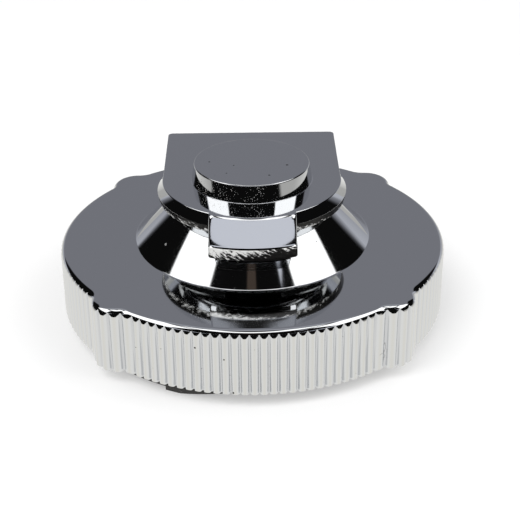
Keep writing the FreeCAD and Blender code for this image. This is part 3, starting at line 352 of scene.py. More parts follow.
# Place and radius of each pit in millimetres
PITS = (
    (4.19, -8.36, 40.2, 0.28), (8.66, -2.49, 40.2, 0.32), (-6.1, -6.94, 40.2, 0.2),
    (-4.4, -2.37, 40.2, 0.2), (-10.4, -0.1, 40.2, 0.24), (-11.7, 6.95, 35.8, 0.22),
    (-13.3, 9.2, 35.8, 0.28), (18.6, -17.2, 35.8, 0.18), (-4.96, -47.94, 4.2, 0.3),
    (-1.33, -48.2, 4.0, 0.3), (-6.82, -47.7, 13.0, 0.2), (-13.3, -46.3, 15.4, 0.24),
)
PALE_CHIP = (-21.10, -13.67, 24.56)
PALE_CHIP_RADIUS = 0.45
PALE_CHIP_STRENGTH = 0.5
# Cells per metre, radius within a cell, share of the cells
COARSE_SPECKS = (330.0, 0.055, 0.1)
FINE_SPECKS = (900.0, 0.09, 0.05)
DUST_SPECKS = (2600.0, 0.36, 0.5)
CRACK_STRENGTH = 0.45
CRACK_HALF_WIDTH = 0.07


def chrome_finish(colours):
    finish = Finish("polished_chrome", colours.chrome, metallic=1.0, roughness=0.05)
    place = finish.place()
    across, along, upright = finish.parts(place)
    specks = finish.dots(place, *COARSE_SPECKS).most(finish.dots(place, *FINE_SPECKS))
    on_disc = (upright > DISC_SIDE[0]) * (upright < DISC_SIDE[1]) * (along < DISC_FRONT)
    on_disc = on_disc * (finish.axis_distance(place) > DISC_SIDE_RADIUS)
    left = 1 - (across * 100.0 + 0.2).clamped_to(0.0, 1.0)
    cloudy = finish.noise(place, 260.0, 3.0).between(0.42, 0.62) * left
    chip = finish.apart(place, PALE_CHIP).between(PALE_CHIP_RADIUS * MM, PALE_CHIP_RADIUS * 0.4 * MM)
    dust = (finish.dots(place, *DUST_SPECKS) * on_disc * cloudy).most(chip * PALE_CHIP_STRENGTH)
    for *point, radius in PITS:
        specks = specks.most(finish.apart(place, point) < radius * MM)
    specks = specks.most(crack(finish, place) * CRACK_STRENGTH)
    haze = finish.noise(place, 60.0, 4.0)
    crest = finish.node("ShaderNodeAttribute", {"attribute_name": "across_rib"}, {}, "Fac")
    on_rib = (crest > 0.001) * (upright < PAINTED_RIB_SHADE_TOP)
    # Painted shade on the rib crests, for the shaded floor near the cap that they reflect.
    crest_shaded = finish.mixed(on_rib * crest.between(0.45, 1.0), colours.chrome, colours.painted_crest_shade)
    # Painted shade in the grooves between the ribs.
    groove_shaded = finish.mixed(on_rib * (1 - crest.between(0.16, 0.4)), crest_shaded, colours.painted_groove_shade)
    dusty = finish.mixed(dust, groove_shaded, colours.dust)
    finish.feed("Base Color", finish.mixed(specks * 0.88, dusty, colours.speck))
    finish.feed("Metallic", 1 - dust * 0.85)
    finish.feed("Roughness", 0.035 + haze * 0.03 + specks.most(dust) * 0.4)
    ripple = finish.noise(place, 140.0, 2.0)
    finish.raise_by(ripple * 0.35 - specks * 2.0, 0.01 * MM, 0.6)


def crack(finish, place):
    """Short forked crack in the plating on the right front lobe, 1 on the crack."""
    across, along, upright = finish.parts(place)
    aside = across * 776.0 + along * 631.0
    height = upright * 1000.0
    wobble = finish.noise(place, 700.0, 2.0) - 0.5
    near = (across > 0.02) * (along < -0.02)
    stem = (aside + 0.02 - wobble * 1.3).absolute() < CRACK_HALF_WIDTH
    stem = stem * (height > 5.6) * (height < 10.6)
    fork = (height - 8.2 - aside * 0.35 - wobble).absolute() < CRACK_HALF_WIDTH
    fork = fork * (aside > -1.7) * (aside < 0.1)
    return near * stem.most(fork)


def cast_chrome_finish(colours):
    """Plating over a filed edge: slanting file marks and pits, with painted dark reflection growing
    towards +X on tab and cover.
    """
    finish = Finish("rough_cast_chrome", colours.cast_chrome, metallic=0.5, roughness=0.3)
    place = finish.place()
    across, along, upright = finish.parts(place)
    marks = finish.node("ShaderNodeCombineXYZ", {}, {
        0: across * 0.22, 1: along * 0.22, 2: upright + across * 0.45})
    files = finish.noise(marks, 2700.0, 2.0, 0.6)
    lumps = finish.noise(place, 1100.0, 5.0, 0.7)
    on_tab = upright < TAB_BAND_TOP
    side = across * 1000.0
    # Painted dark reflection on the tab's band: darker towards +X and towards its foot.
    tab_painted_reflection = 0.09 + side.clamped_to(-11.0, 11.0) * 0.01 + (TAB_BAND_MIDDLE - upright) * 90.0
    # Painted dark reflection on the cover's band: darker towards its right end and towards its top.
    cover_painted_reflection = 0.09 - side.clamped_to(-14.0, 14.0) * 0.002
    cover_painted_reflection = cover_painted_reflection + (side.clamped_to(9.0, 23.0) - 9.0) * 0.012
    cover_painted_reflection = cover_painted_reflection + (upright - COVER_BAND_MIDDLE) * 100.0
    edge = 0.43 + on_tab * tab_painted_reflection + (1 - on_tab) * cover_painted_reflection
    grain = finish.noise(place, 1500.0, 4.0, 0.75) * 0.4 + files * 0.6
    # Dark grime follows the grain and file marks; the painted dark reflection above moves its
    # threshold.
    grime_and_painted_reflection = grain.between(edge + 0.06, edge - 0.02)
    finish.feed("Base Color", finish.mixed(grime_and_painted_reflection, colours.cast_chrome, colours.grime_and_painted_reflection))
    finish.feed("Metallic", 0.5 + grime_and_painted_reflection * 0.5)
    finish.feed("Roughness", 0.18 + lumps * 0.3)
    finish.raise_by(lumps * 0.5 + files, 0.15 * MM, 0.9)


def turned_finish(name, base, roughness, grain):
    """Turned or drawn metal with fine rings about the cap's axis."""
    finish = Finish(name, base, metallic=1.0, roughness=roughness)
    place = finish.place()
    upright = finish.parts(place)[2]
    rings = finish.node("ShaderNodeTexNoise", {"noise_dimensions": "1D"}, {
        "W": finish.axis_distance(place) + upright, "Scale": grain, "Detail": 2.0})
    finish.feed("Roughness", roughness - 0.06 + finish.noise(place, 120.0) * 0.12)
    finish.raise_by(rings, 0.02 * MM, 0.5)


def plated_finish(name, base, roughness, lump_scale, lump_height, worn=None):
    """Plated or coated metal with a faint cast surface, and rubbed spots where worn is a colour."""
    finish = Finish(name, base, metallic=0.0 if worn else 1.0, roughness=roughness)
    place = finish.place()
    finish.feed("Roughness", roughness - 0.08 + finish.noise(place, 90.0) * 0.16)
    if worn:
        rubbed = finish.noise(place, 260.0, 5.0, 0.7).between(0.62, 0.72)
        finish.feed("Base Color", finish.mixed(rubbed * 0.5, base, worn))
    finish.raise_by(finish.noise(place, lump_scale, 4.0, 0.6), lump_height * MM, 0.7)


def soft_finish(name, base, roughness):
    """Rubber or plastic with a fine moulded grain."""
    finish = Finish(name, base, metallic=0.0, roughness=roughness)
    place = finish.place()
    finish.feed("Roughness", roughness - 0.1 + finish.noise(place, 150.0) * 0.2)
    finish.raise_by(finish.noise(place, 1800.0, 2.0), 0.03 * MM, 0.6)


SLOT_FINISHES = {
    "chrome_plate": "polished_chrome", "bright_steel": "bright_steel_wire",
    "satin_nickel": "satin_nickel_turned", "black_rubber": "moulded_rubber", "brass": "turned_brass",
    "zinc_steel": "zinc_plated_steel", "bare_zinc": "bare_casting",
    "white_plastic": "white_plastic_moulding", "black_coat": "black_coated_casting",
    "black_screw": "black_oxide_steel",
}


def make_finishes():
    """Makes the materials once."""
    if "polished_chrome" in bpy.data.materials:
        return
    colours = bpy.context.scene.cap_finish
    chrome_finish(colours)
    cast_chrome_finish(colours)
    turned_finish("bright_steel_wire", colours.steel, 0.22, 9000.0)
    turned_finish("satin_nickel_turned", colours.nickel, 0.2, 7000.0)
    turned_finish("turned_brass", colours.brass, 0.24, 7000.0)
    plated_finish("zinc_plated_steel", colours.zinc, 0.34, 1400.0, 0.02)
    plated_finish("bare_casting", colours.casting, 0.46, 1100.0, 0.06)
    plated_finish("black_coated_casting", colours.coat, 0.36, 1200.0, 0.05, colours.coat_wear)
    plated_finish("black_oxide_steel", colours.oxide, 0.32, 1500.0, 0.02, colours.coat_wear)
    soft_finish("moulded_rubber", colours.rubber, 0.62)
    soft_finish("white_plastic_moulding", colours.plastic, 0.4)


# Meshes


def body_of(node):
    bodies = frame["record"]["behaviour"]["bodies"]
    return next(body for body, members in bodies.items() if node in members)


def slot_of(node):
    return next(part["material_slot"] for part in frame["record"]["subparts"] if part["node"] == node)


def linked(name, mesh):
    made = bpy.data.objects.new(name, mesh)
    bpy.context.scene.collection.objects.link(made)
    return made


def new_object(name, points, faces):
    mesh = bpy.data.meshes.new(name)
    mesh.from_pydata([tuple(point) for point in points], [],
                     [tuple(int(i) for i in face) for face in faces])
    mesh.update()
    return linked(name, mesh)


def set_attribute(made, name, values):
    made.data.attributes.new(name, "FLOAT", "POINT").data.foreach_set("value", values)


SHARP_ANGLE = math.radians(38)
AREA_WEIGHT = 80


def dressed(made, node, second_material=None):
    """Gives a piece its body, slot, finish and smooth surface, and hides its CAD node."""
    make_finishes()
    slot = slot_of(node)
    indices = [face.material_index for face in made.data.polygons]
    made.data.materials.clear()
    made.data.materials.append(bpy.data.materials[SLOT_FINISHES[slot]])
    if second_material:
        made.data.materials.append(bpy.data.materials[second_material])
        made.data.polygons.foreach_set("material_index", indices)
    made.data.polygons.foreach_set("use_smooth", [True] * len(made.data.polygons))
    made.data.set_sharp_from_angle(angle=SHARP_ANGLE)
    weighted = made.modifiers.new("even_normals", "WEIGHTED_NORMAL")
    weighted.keep_sharp = True
    weighted.weight = AREA_WEIGHT
    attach(made, body_of(node))
    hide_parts(node)
    return made


def ring_faces(rows, columns, closed=False):
    """Quads between rows of points that each run once round."""
    faces = []
    last = rows if closed else rows - 1
    for row in range(last):
        low, high = row * columns, (row + 1) % rows * columns
        for column in range(columns):
            after = (column + 1) % columns
            faces.append((low + column, low + after, high + after, high + column))
    return faces


def rounded_path(corners, steps=ROUND_STEPS, closed=True):
    """Points along straight lines whose corners are rounded; a corner is two places and a radius."""
    points = []
    count = len(corners)
    for index, (across, up, radius) in enumerate(corners):
        here = Vector((across, up))
        if radius == 0 or (not closed and index in (0, count - 1)):
            points.append(here)
            continue
        before = Vector(corners[index - 1][:2]) - here
        after = Vector(corners[(index + 1) % count][:2]) - here
        opening = before.angle(after)
        reach = radius / math.tan(opening / 2)
        reach = min(reach, 0.49 * before.length, 0.49 * after.length)
        true_radius = reach * math.tan(opening / 2)
        start = here + before.normalized() * reach
        end = here + after.normalized() * reach
        middle = (before.normalized() + after.normalized()).normalized()
        centre = here + middle * (true_radius / math.sin(opening / 2))
        first = start - centre
        sweep = first.angle_signed(end - centre)
        for step in range(steps + 1):
            turn = Matrix.Rotation(-sweep * step / steps, 2)
            points.append(centre + turn @ first)
    return [(point.x, point.y) for point in points]


def turned_points(path, angles, middle=(0.0, 0.0)):
    """Rows of points for a path of (radius, height), turned about an upright line."""
    around = np.asarray(angles)
    rows = []
    for radius, height in path:
        rows.append(np.stack([middle[0] + radius * np.cos(around), middle[1] + radius * np.sin(around),
                              np.full(len(around), height)], axis=1))
    return np.concatenate(rows)


def even_angles(columns):
    return [2 * math.pi * index / columns for index in range(columns)]


def pole_faces(row, columns, pole, turned_over=False):
    """Triangles between a row of points and one point on the axis."""
    faces = []
    for column in range(columns):
        pair = (row * columns + column, row * columns + (column + 1) % columns)
        faces.append((*(pair[::-1] if turned_over else pair), pole))
    return faces


def turned(name, path, columns=96, middle=(0.0, 0.0), closed=True):
    """Solid turned from a path; an open path starts and ends on the axis."""
    rows = path if closed else path[1:-1]
    points = turned_points(rows, even_angles(columns), middle)
    faces = ring_faces(len(rows), columns, closed)
    if not closed:
        faces += pole_faces(0, columns, len(points), True)
        faces += pole_faces(len(rows) - 1, columns, len(points) + 1)
        points = [*points, (*middle, path[0][1]), (*middle, path[-1][1])]
    return outward_faces(new_object(name, points, faces))


def outward_faces(made):
    """Turns every face outwards."""
    work = bmesh.new()
    work.from_mesh(made.data)
    bmesh.ops.recalc_face_normals(work, faces=work.faces)
    work.to_mesh(made.data)
    work.free()
    return made


def settled(made):
    """Replaces the mesh by what its modifiers make of it."""
    evaluated = made.evaluated_get(bpy.context.evaluated_depsgraph_get())
    mesh = bpy.data.meshes.new_from_object(evaluated)
    made.modifiers.clear()
    made.data = mesh
    return made


def combined(base, others, operation):
    for other in others:
        join = base.modifiers.new("join", "BOOLEAN")
        join.operation = operation
        join.object = other
        join.solver = "EXACT"
        settled(base)
        bpy.data.objects.remove(other)
    return base


BOX_SEGMENTS = 3


def rounded_box(name, low, high, rounding):
    work = bmesh.new()
    bmesh.ops.create_cube(work, size=1.0)
    low, high = Vector(low), Vector(high)
    for vertex in work.verts:
        vertex.co = (low + high) / 2 + vertex.co * (high - low)
    if rounding:
        bmesh.ops.bevel(work, geom=work.edges, offset=rounding, segments=BOX_SEGMENTS, profile=0.5,
                        affect="EDGES")
    return placed(name, work)


def rod_on_hinge(name, boss, radius, low, high, rounding=0.0, steps=3):
    """Rod on the hinge line from one X to another, with rounded edges."""
    path = rounded_path([(0, low, 0), (radius, low, rounding), (radius, high, rounding), (0, high, 0)],
                        steps, False)
    made = turned(name, path, HINGE_COLUMNS, closed=False)
    made.data.transform(Matrix.Translation((0, boss.hinge_back, boss.hinge_level))
                        @ Matrix.Rotation(math.radians(90), 4, "Y"))
    return made


MERGE_REACH = 0.002 * MM
FLAT_ANGLE = math.radians(0.6)
LEAST_EDGE_ANGLE = math.radians(28.0)
EDGE_SEGMENTS = 2


def softened(node, rounding):
    """The CAD node's own form with its edges broken, as a new object."""
    source = frame["nodes"][node]
    work = bmesh.new()
    work.from_mesh(source.data)
    bmesh.ops.remove_doubles(work, verts=work.verts, dist=MERGE_REACH)
    bmesh.ops.dissolve_limit(work, angle_limit=FLAT_ANGLE, verts=work.verts, edges=work.edges)
    sharp = [edge for edge in work.edges
             if len(edge.link_faces) == 2 and edge.calc_face_angle(0) > LEAST_EDGE_ANGLE]
    bmesh.ops.bevel(work, geom=sharp, offset=rounding, segments=EDGE_SEGMENTS, profile=0.5,
                    affect="EDGES", clamp_overlap=True)
    return placed(node + "_piece", work)


def softened_copy(node, rounding):
    return dressed(softened(node, rounding), node)


def placed(name, work):
    """New object with the mesh that was worked out."""
    mesh = bpy.data.meshes.new(name)
    work.to_mesh(mesh)
    work.free()
    return linked(name, mesh)


def gathered(name, pieces):
    """One object out of several that don't touch each other."""
    work = bmesh.new()
    for piece in pieces:
        work.from_mesh(piece.data)
        bpy.data.objects.remove(piece)
    return placed(name, work)


# Skirt of the cap


def polar(radius, azimuth):
    return Vector((radius * math.cos(azimuth), radius * math.sin(azimuth)))


def heading(vector):
    return math.atan2(vector.y, vector.x)


def skirt_arcs(sizes, azimuth):
    """Arcs over one lobe: centre, radius, first and last heading, and 1 where the centre is inside."""
    main, half = sizes.crest_radius, sizes.lobe_half_angle
    blend, crest = sizes.lobe_blend, sizes.lobe_radius
    reach = main + sizes.lobe_height - crest
    foot_reach = main + blend
    cosine = (foot_reach ** 2 + reach ** 2 - (crest + blend) ** 2) / (2 * foot_reach * reach)
    foot = math.acos(cosine)
    centre = polar(reach, azimuth)
    feet = [polar(foot_reach, azimuth - foot), polar(foot_reach, azimuth + foot)]
    origin = Vector((0, 0))
    first, last = (heading(centre - place) for place in feet)
    crest_from, crest_to = (heading(place - centre) for place in feet)
    return [
        (origin, main, azimuth - half, azimuth - foot, 1),
        (feet[0], blend, azimuth - foot + math.pi, first, -1),
        (centre, crest, crest_from, crest_to, 1),
        (feet[1], blend, last, azimuth + foot + math.pi, -1),
        (origin, main, azimuth + foot, azimuth + half, 1),
    ]


def near_turn(start, end):
    """End heading moved by whole turns to be near the start."""
    return start + (end - start + math.pi) % (2 * math.pi) - math.pi


def sampled(arcs, fractions):
    """Places and outward directions at even fractions of the arcs' whole length."""
    spans = [(centre, radius, start, near_turn(start, end), side)
             for centre, radius, start, end, side in arcs]
    lengths = [abs(end - start) * radius for _, radius, start, end, _ in spans]
    ends = np.cumsum(lengths)
    result = []
    for fraction in fractions:
        target = fraction * ends[-1]
        index = min(int(np.searchsorted(ends, target, side="right")), len(spans) - 1)
        centre, radius, start, end, side = spans[index]
        share = (target - (ends[index] - lengths[index])) / lengths[index]
        outward = polar(1, start + (end - start) * share)
        place = centre + outward * radius
        result.append((place.x, place.y, outward.x * side, outward.y * side))
    return result


RIB_SHARES = (0.0, 0.07, 0.105, 0.145, 0.205, 0.34, 0.5, 0.66, 0.795, 0.855, 0.895, 0.93)
COLUMNS_PER_RING_STEP = 6
LOBES = 4


def skirt_columns(sizes):
    """Place, outward direction and share of a rib for each upright column of the skirt."""
    rows = []
    shares = []
    spacing = 2 * math.pi / LOBES
    for index in range(LOBES):
        azimuth = spacing * (index + 0.5)
        over_lobe = skirt_arcs(sizes, azimuth)
        half = sizes.lobe_half_angle
        plain = [(Vector((0, 0)), sizes.crest_radius, azimuth + half, azimuth + spacing - half, 1)]
        for arcs, ribs in ((over_lobe, sizes.ribs_per_lobe), (plain, sizes.ribs_per_arc)):
            fractions = [(rib + share) / ribs for rib in range(ribs) for share in RIB_SHARES]
            rows += sampled(arcs, fractions)
            shares += list(RIB_SHARES) * ribs
    return np.array(rows), np.array(shares)


WALL_SHARE = 0.66


def groove_offsets(shares, pitch, depth, width, camber):
    """How far each column lies inside the crest line: round ribs and flat grooves with steep walls."""
    across = np.abs(shares - 0.5) * pitch
    start = pitch / 2 - width / 2
    crest = np.minimum(across, start) ** 2 / (2 * camber)
    shoulder = start ** 2 / (2 * camber)
    wall = width / 2 * WALL_SHARE
    into = np.clip((across - start) / wall, 0, 1)
    return -crest - (depth - shoulder) * (1 - np.cos(math.pi * into)) / 2


EDGE_TURNS = (0, 9, 18, 27, 35, 42, 48, 51.5)
EDGE_LOWER_TURNS = (61.5, 67, 73, 80, 87)
CREASE_STEP = 0.04
TURN_STEP = 0.12
LATEST_SINE = 0.985
GROOVE_SHARES = (0.02, 0.07, 0.14, 0.4, 0.7, 1.0)
FULL_GROOVE_SHARE = 0.14
FOOT_SHARES = (0.35, 0.7, 1.0)


def edge_points(radius, turn):
    """Outward and downward place on the rounded top edge, with a faint crease between its two arcs."""
    first, last = math.radians(EDGE_TURNS[-1]), math.radians(EDGE_LOWER_TURNS[0])
    reach = math.tan((last - first) / 2)
    outward = np.sin(turn) - 1
    down = 1 - np.cos(turn)
    upper = np.clip((turn - first) / ((last - first) / 2), 0, 1) * reach
    lower = np.clip((last - turn) / ((last - first) / 2), 0, 1) * reach
    middle = (first + last) / 2
    on_upper = (turn > first) & (turn <= middle)
    on_lower = (turn > middle) & (turn < last)
    outward = np.where(on_upper, math.sin(first) - 1 + math.cos(first) * upper, outward)
    down = np.where(on_upper, 1 - math.cos(first) + math.sin(first) * upper, down)
    outward = np.where(on_lower, math.sin(last) - 1 - math.cos(last) * lower, outward)
    down = np.where(on_lower, 1 - math.cos(last) - math.sin(last) * lower, down)
    return radius * outward, radius * down


def skirt_rows(sizes, columns, shares):
    """Rows of points from the flat top over the rounded edge and down the ribs to the foot."""
    place, outward = columns[:, :2], columns[:, 2:]
    pitch = 2 * math.pi * sizes.crest_radius / (LOBES * (sizes.ribs_per_arc + sizes.ribs_per_lobe))
    radius, top, foot = sizes.edge_radius, sizes.flat_level, sizes.foot_level

    def grooves(depth, width=sizes.groove_width):
        return groove_offsets(shares, pitch, depth, width, sizes.crest_camber)

    run_out = grooves(sizes.groove_depth_top, sizes.groove_width_top)
    end_turn = np.arcsin(np.clip(1 + run_out / radius, 0, LATEST_SINE))
    rows = []

    def add(offset, height):
        ring = place + outward * np.asarray(offset)[:, None]
        rows.append(np.column_stack([ring, height]))

    crease = (EDGE_TURNS[-1] + EDGE_LOWER_TURNS[0]) / 2
    turns = [*EDGE_TURNS, crease - CREASE_STEP, crease + CREASE_STEP, *EDGE_LOWER_TURNS]
    for index, degrees in enumerate(turns):
        latest = end_turn - math.radians(TURN_STEP) * (len(turns) - 1 - index)
        offset, drop = edge_points(radius, np.minimum(math.radians(degrees), latest))
        add(offset, top - drop)
    edge_foot = rows[-1][:, 2]
    lowest = foot + sizes.foot_rounding
    for share in GROOVE_SHARES:
        height = edge_foot + (lowest - edge_foot) * share
        depth = sizes.groove_depth_top + (sizes.groove_depth_foot - sizes.groove_depth_top) * share
        widening = min(1.0, share / FULL_GROOVE_SHARE)
        add(grooves(depth) * widening + run_out * (1 - widening), height)
    rim = grooves(sizes.groove_depth_foot)
    for share in FOOT_SHARES:
        turn = math.pi / 2 * share
        inset = sizes.foot_rounding * (1 - math.cos(turn))
        drop = sizes.foot_rounding * math.sin(turn)
        add(rim - inset, np.full(len(shares), lowest - drop))
    return rows


def fan_faces(outer_start, outer_count, inner_start, inner_count):
    """Flat faces between an outer ring and an inner ring with fewer points."""
    step = outer_count // inner_count
    faces = []
    for index in range(inner_count):
        following = (index + 1) % inner_count
        outer = [outer_start + (index * step + k) % outer_count for k in range(step + 1)]
        faces.append((inner_start + index, *outer, inner_start + following))
    return faces


FINE_RING_RADIUS = 43.5 * MM
CORE_RADIUS = 16.0 * MM
NUT_ROOM_RADIUS = 12.8 * MM
NUT_ROOM_HEIGHT = 6.0 * MM
NUT_WALL = 2.7 * MM
SEAL_REACH = 1.4 * MM
SEAL_DEPTH = 1.3 * MM
WELL_GAP = 0.2 * MM


def boss_path(skirt, boss):
    """Section from the flat top over the boss and down through the hollows to the skirt's inside."""
    top = skirt.flat_level
    crown = top + boss.height
    face = crown + boss.rest_height
    nut_top, gasket_top, ring_top = (
        level(node, 1) * MM for node in ("barrel_nut", "gasket", "bayonet_ring"))
    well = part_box("gasket")[1].x + WELL_GAP
    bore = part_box("barrel_nut")[1].x - NUT_WALL
    rest_inside = boss.rest_radius - boss.rest_wall
    fine, small, broad = 0.12 * MM, 0.15 * MM, 0.3 * MM
    return rounded_path([
        (FINE_RING_RADIUS, top, 0),
        (boss.foot_radius, top, boss.blend),
        (boss.top_radius, crown, fine),
        (boss.rest_radius, crown, fine),
        (boss.rest_radius, face, broad),
        (rest_inside, face, broad),
        (rest_inside, crown, small),
        (bore + SEAL_REACH, crown, small),
        (bore + SEAL_REACH, crown - SEAL_DEPTH, 0.1 * MM),
        (bore, crown - SEAL_DEPTH, 0.1 * MM),
        (bore, nut_top, small),
        (NUT_ROOM_RADIUS, nut_top, small),
        (NUT_ROOM_RADIUS, nut_top + NUT_ROOM_HEIGHT, 0.4 * MM),
        (CORE_RADIUS, nut_top + NUT_ROOM_HEIGHT, 0.4 * MM),
        (CORE_RADIUS, gasket_top, 0.2 * MM),
        (well, gasket_top, broad),
        (well, ring_top, 0.2 * MM),
        (skirt.inner_radius, ring_top, broad),
        (skirt.inner_radius, skirt.foot_level, 0),
    ], closed=False)


EAR_ROUNDING = 0.35 * MM
EAR_ROOT = 1.5 * MM
EAR_OVERLAP = 0.02 * MM


def hinge_ears(boss, top):
    """The two ears that carry the pin, each a rounded post with a round eye."""
    ears = []
    inner = boss.knuckle_width / 2 + boss.side_play
    for side in (-1, 1):
        low, high = sorted((side * inner, side * (inner + boss.ear_width)))
        eye = rod_on_hinge(f"ear_eye_{side}", boss, boss.eye_radius, low, high, EAR_ROUNDING)
        post = rounded_box(f"ear_post_{side}", (low, boss.hinge_back - boss.eye_radius, top - EAR_ROOT),
                           (high, boss.hinge_back + boss.eye_radius, boss.hinge_level + EAR_OVERLAP),
                           EAR_ROUNDING)
        ears.append(combined(eye, [post], "UNION"))
    return ears


def plain_rod(name, radius, low, high, middle=(0.0, 0.0), columns=32):
    path = [(0, low), (radius, low), (radius, high), (0, high)]
    return turned(name, path, columns, middle, closed=False)


HOUSING_SCREW_RADIUS = 2.0 * MM
RING_SCREW_RADIUS = 1.5 * MM
# Circle's radius, screw's radius, azimuths, and the node that the holes' mouths lie on
SCREWS = {
    "housing_screws": (19.6 * MM, HOUSING_SCREW_RADIUS, (45, 135, 225, 315), "gasket"),
    "ring_screws": (41.7 * MM, RING_SCREW_RADIUS, (225, 345, 105), "bayonet_ring"),
}
HOLE_PLAY = 0.05 * MM
HOLE_DEPTH_PLAY = 0.1
BORE_REACH = 2 * MM
BREATHER_TOP = 40 * MM


def screw_places(node):
    """Azimuth and place of each screw of a set."""
    circle, _, azimuths, _ = SCREWS[node]
    for azimuth in azimuths:
        turn = math.radians(azimuth)
        yield azimuth, (circle * math.cos(turn), circle * math.sin(turn))


def bores(boss):
    """Rods that cut the air hole, the pin's bore and the screw holes out of the casting."""
    rods = [plain_rod("breather", boss.breather_radius, (level("barrel_nut", 1) + 1) * MM, BREATHER_TOP,
                      (0, -boss.breather_reach))]
    reach = boss.knuckle_width / 2 + boss.side_play + boss.ear_width + BORE_REACH
    rods.append(rod_on_hinge("pin_bore", boss, boss.pin_radius, -reach, reach))
    for node, (_, radius, _, mouth) in SCREWS.items():
        foot, top = level(mouth, 1) - 1, level(node, 1) + HOLE_DEPTH_PLAY
        for _, place in screw_places(node):
            rods.append(plain_rod("screw_hole", radius + HOLE_PLAY, foot * MM, top * MM, place))
    return [gathered("bores", rods)]


class CAP_OT_casting(bpy.types.Operator):
    """Chrome-plated casting with its ribbed skirt, cone and hinge ears"""

    bl_idname = "fuel_cap.casting"
    bl_label = "Cap casting"

    def execute(self, context):
        skirt, boss = context.scene.cap_skirt, context.scene.cap_boss
        columns, shares = skirt_columns(skirt)
        count = len(columns)
        rows = skirt_rows(skirt, columns, shares)
        few = count // COLUMNS_PER_RING_STEP
        angles = np.arctan2(columns[::COLUMNS_PER_RING_STEP, 1], columns[::COLUMNS_PER_RING_STEP, 0])
        path = boss_path(skirt, boss)
        inner = turned_points(path, angles)
        points = np.concatenate([*rows, inner])
        inner_start = len(rows) * count
        faces = ring_faces(len(rows), count)
        faces += [tuple(inner_start + i for i in face) for face in ring_faces(len(path), few)]
        faces += fan_faces(0, count, inner_start, few)
        faces += fan_faces((len(rows) - 1) * count, count, inner_start + (len(path) - 1) * few, few)
        casting = new_object("cap_casting", points, faces)
        across_rib = np.full(len(points), 0.5)
        across_rib[:inner_start] = np.tile(shares, len(rows))
        set_attribute(casting, "across_rib", 1 - 2 * np.abs(across_rib - 0.5))
        outward_faces(casting)
        combined(casting, hinge_ears(boss, skirt.flat_level), "UNION")
        combined(casting, bores(boss), "DIFFERENCE")
        dressed(casting, "cap_body")
        return {"FINISHED"}


# Key cover


FRONT_STEPS = 144
SIDE_STEPS = 14
CORNER_STEPS = 8
BACK_STEPS = 24


def line_points(start, end, steps):
    """Points of a line without its last point."""
    return [tuple(a + (b - a) * step / steps for a, b in zip(start, end)) for step in range(steps)]


def arc_points(centre, radius, start, sweep, steps):
    """Points of an arc without its last point."""
    turns = [start + sweep * step / steps for step in range(steps)]
    return [(centre[0] + radius * math.cos(turn), centre[1] + radius * math.sin(turn))
            for turn in turns]


def cover_ring(sizes, widen, flare=0.0):
    """Plan outline of the cover: a front arc that can flare out past the sides, and a straight back."""
    half, back, corner = sizes.half_width + widen, sizes.back + widen, sizes.corner
    front_radius = half + flare
    run_on = math.acos(half / front_radius)
    side_start = front_radius * math.sin(run_on)
    inside, side_end = half - corner, back - corner
    quarter = math.pi / 2
    return np.array([
        *arc_points((0, 0), front_radius, math.pi - run_on, math.pi + 2 * run_on, FRONT_STEPS),
        *line_points((half, side_start), (half, side_end), SIDE_STEPS),
        *arc_points((inside, side_end), corner, 0, quarter, CORNER_STEPS),
        *line_points((inside, back), (-inside, back), BACK_STEPS),
        *arc_points((-inside, side_end), corner, quarter, quarter, CORNER_STEPS),
        *line_points((-half, side_end), (-half, side_start), SIDE_STEPS),
    ])


def circle_ring(outline, radius):
    """Points of a circle in the directions of an outline's points."""
    turns = np.arctan2(outline[:, 1], outline[:, 0])
    return np.stack([radius * np.cos(turns), radius * np.sin(turns)], axis=1)


TRAY_SEED = 7
DISC_MARGIN = 2 * MM


def cover_tray(sizes):
    """The cover's tray, from the inside of the raised disc over the foot to the disc's top."""
    outline = cover_ring(sizes, 0)
    top = sizes.foot_level + sizes.band_height + sizes.side_height
    widest = sizes.foot_level + sizes.band_height
    roof = top - sizes.wall
    disc_top = top + sizes.disc_height
    rings = []

    def circle(radius, height):
        rings.append(np.column_stack([circle_ring(outline, radius), np.full(len(outline), height)]))

    def lid(widen, height):
        ring = cover_ring(sizes, min(widen, 0), max(widen, 0))
        rings.append(np.column_stack([ring, np.full(len(outline), height)]))

    for radius, height in rounded_path([
            (0, disc_top - sizes.wall, 0), (sizes.hollow_radius, disc_top - sizes.wall, 0.4 * MM),
            (sizes.hollow_radius, roof, 0.3 * MM), (sizes.hollow_radius + DISC_MARGIN, roof, 0)],
            closed=False)[1:]:
        circle(radius, height)
    inside = [(-sizes.wall - 1.0 * MM, roof, 0), (-sizes.wall, roof, 0.4 * MM),
              (-sizes.wall, sizes.foot_level, 0.25 * MM),
              (sizes.flare - sizes.undercut, sizes.foot_level, 0.3 * MM),
              (sizes.flare, widest, 0.12 * MM), (0, top, sizes.edge), (-sizes.edge * 3, top, 0)]
    for widen, height in rounded_path(inside, closed=False):
        lid(widen, height)
    for radius, height in rounded_path([
            (sizes.disc_foot_radius + DISC_MARGIN, top, 0), (sizes.disc_foot_radius, top, 0.15 * MM),
            (sizes.disc_top_radius, disc_top, sizes.edge), (0, disc_top, 0)], closed=False)[:-1]:
        circle(radius, height)
    count = len(outline)
    points = [*np.concatenate(rings), (0, 0, disc_top - sizes.wall), (0, 0, disc_top)]
    faces = ring_faces(len(rings), count)
    faces += pole_faces(0, count, len(points) - 2) + pole_faces(len(rings) - 1, count, len(points) - 1)
    tray = two_finishes(new_object("cover_casting", points, faces))
    least_reach = sizes.half_width - sizes.wall / 2
    roughened(tray, random.Random(TRAY_SEED), sizes.foot_level, widest, least_reach)
    return outward_faces(tray)


def two_finishes(made):
    make_finishes()
    for name in ("polished_chrome", "rough_cast_chrome"):
        made.data.materials.append(bpy.data.materials[name])
    return made


BAND_SLACK = 0.02
BAND_CUTS = 5
BAND_ROUGHNESS = 0.05 * MM


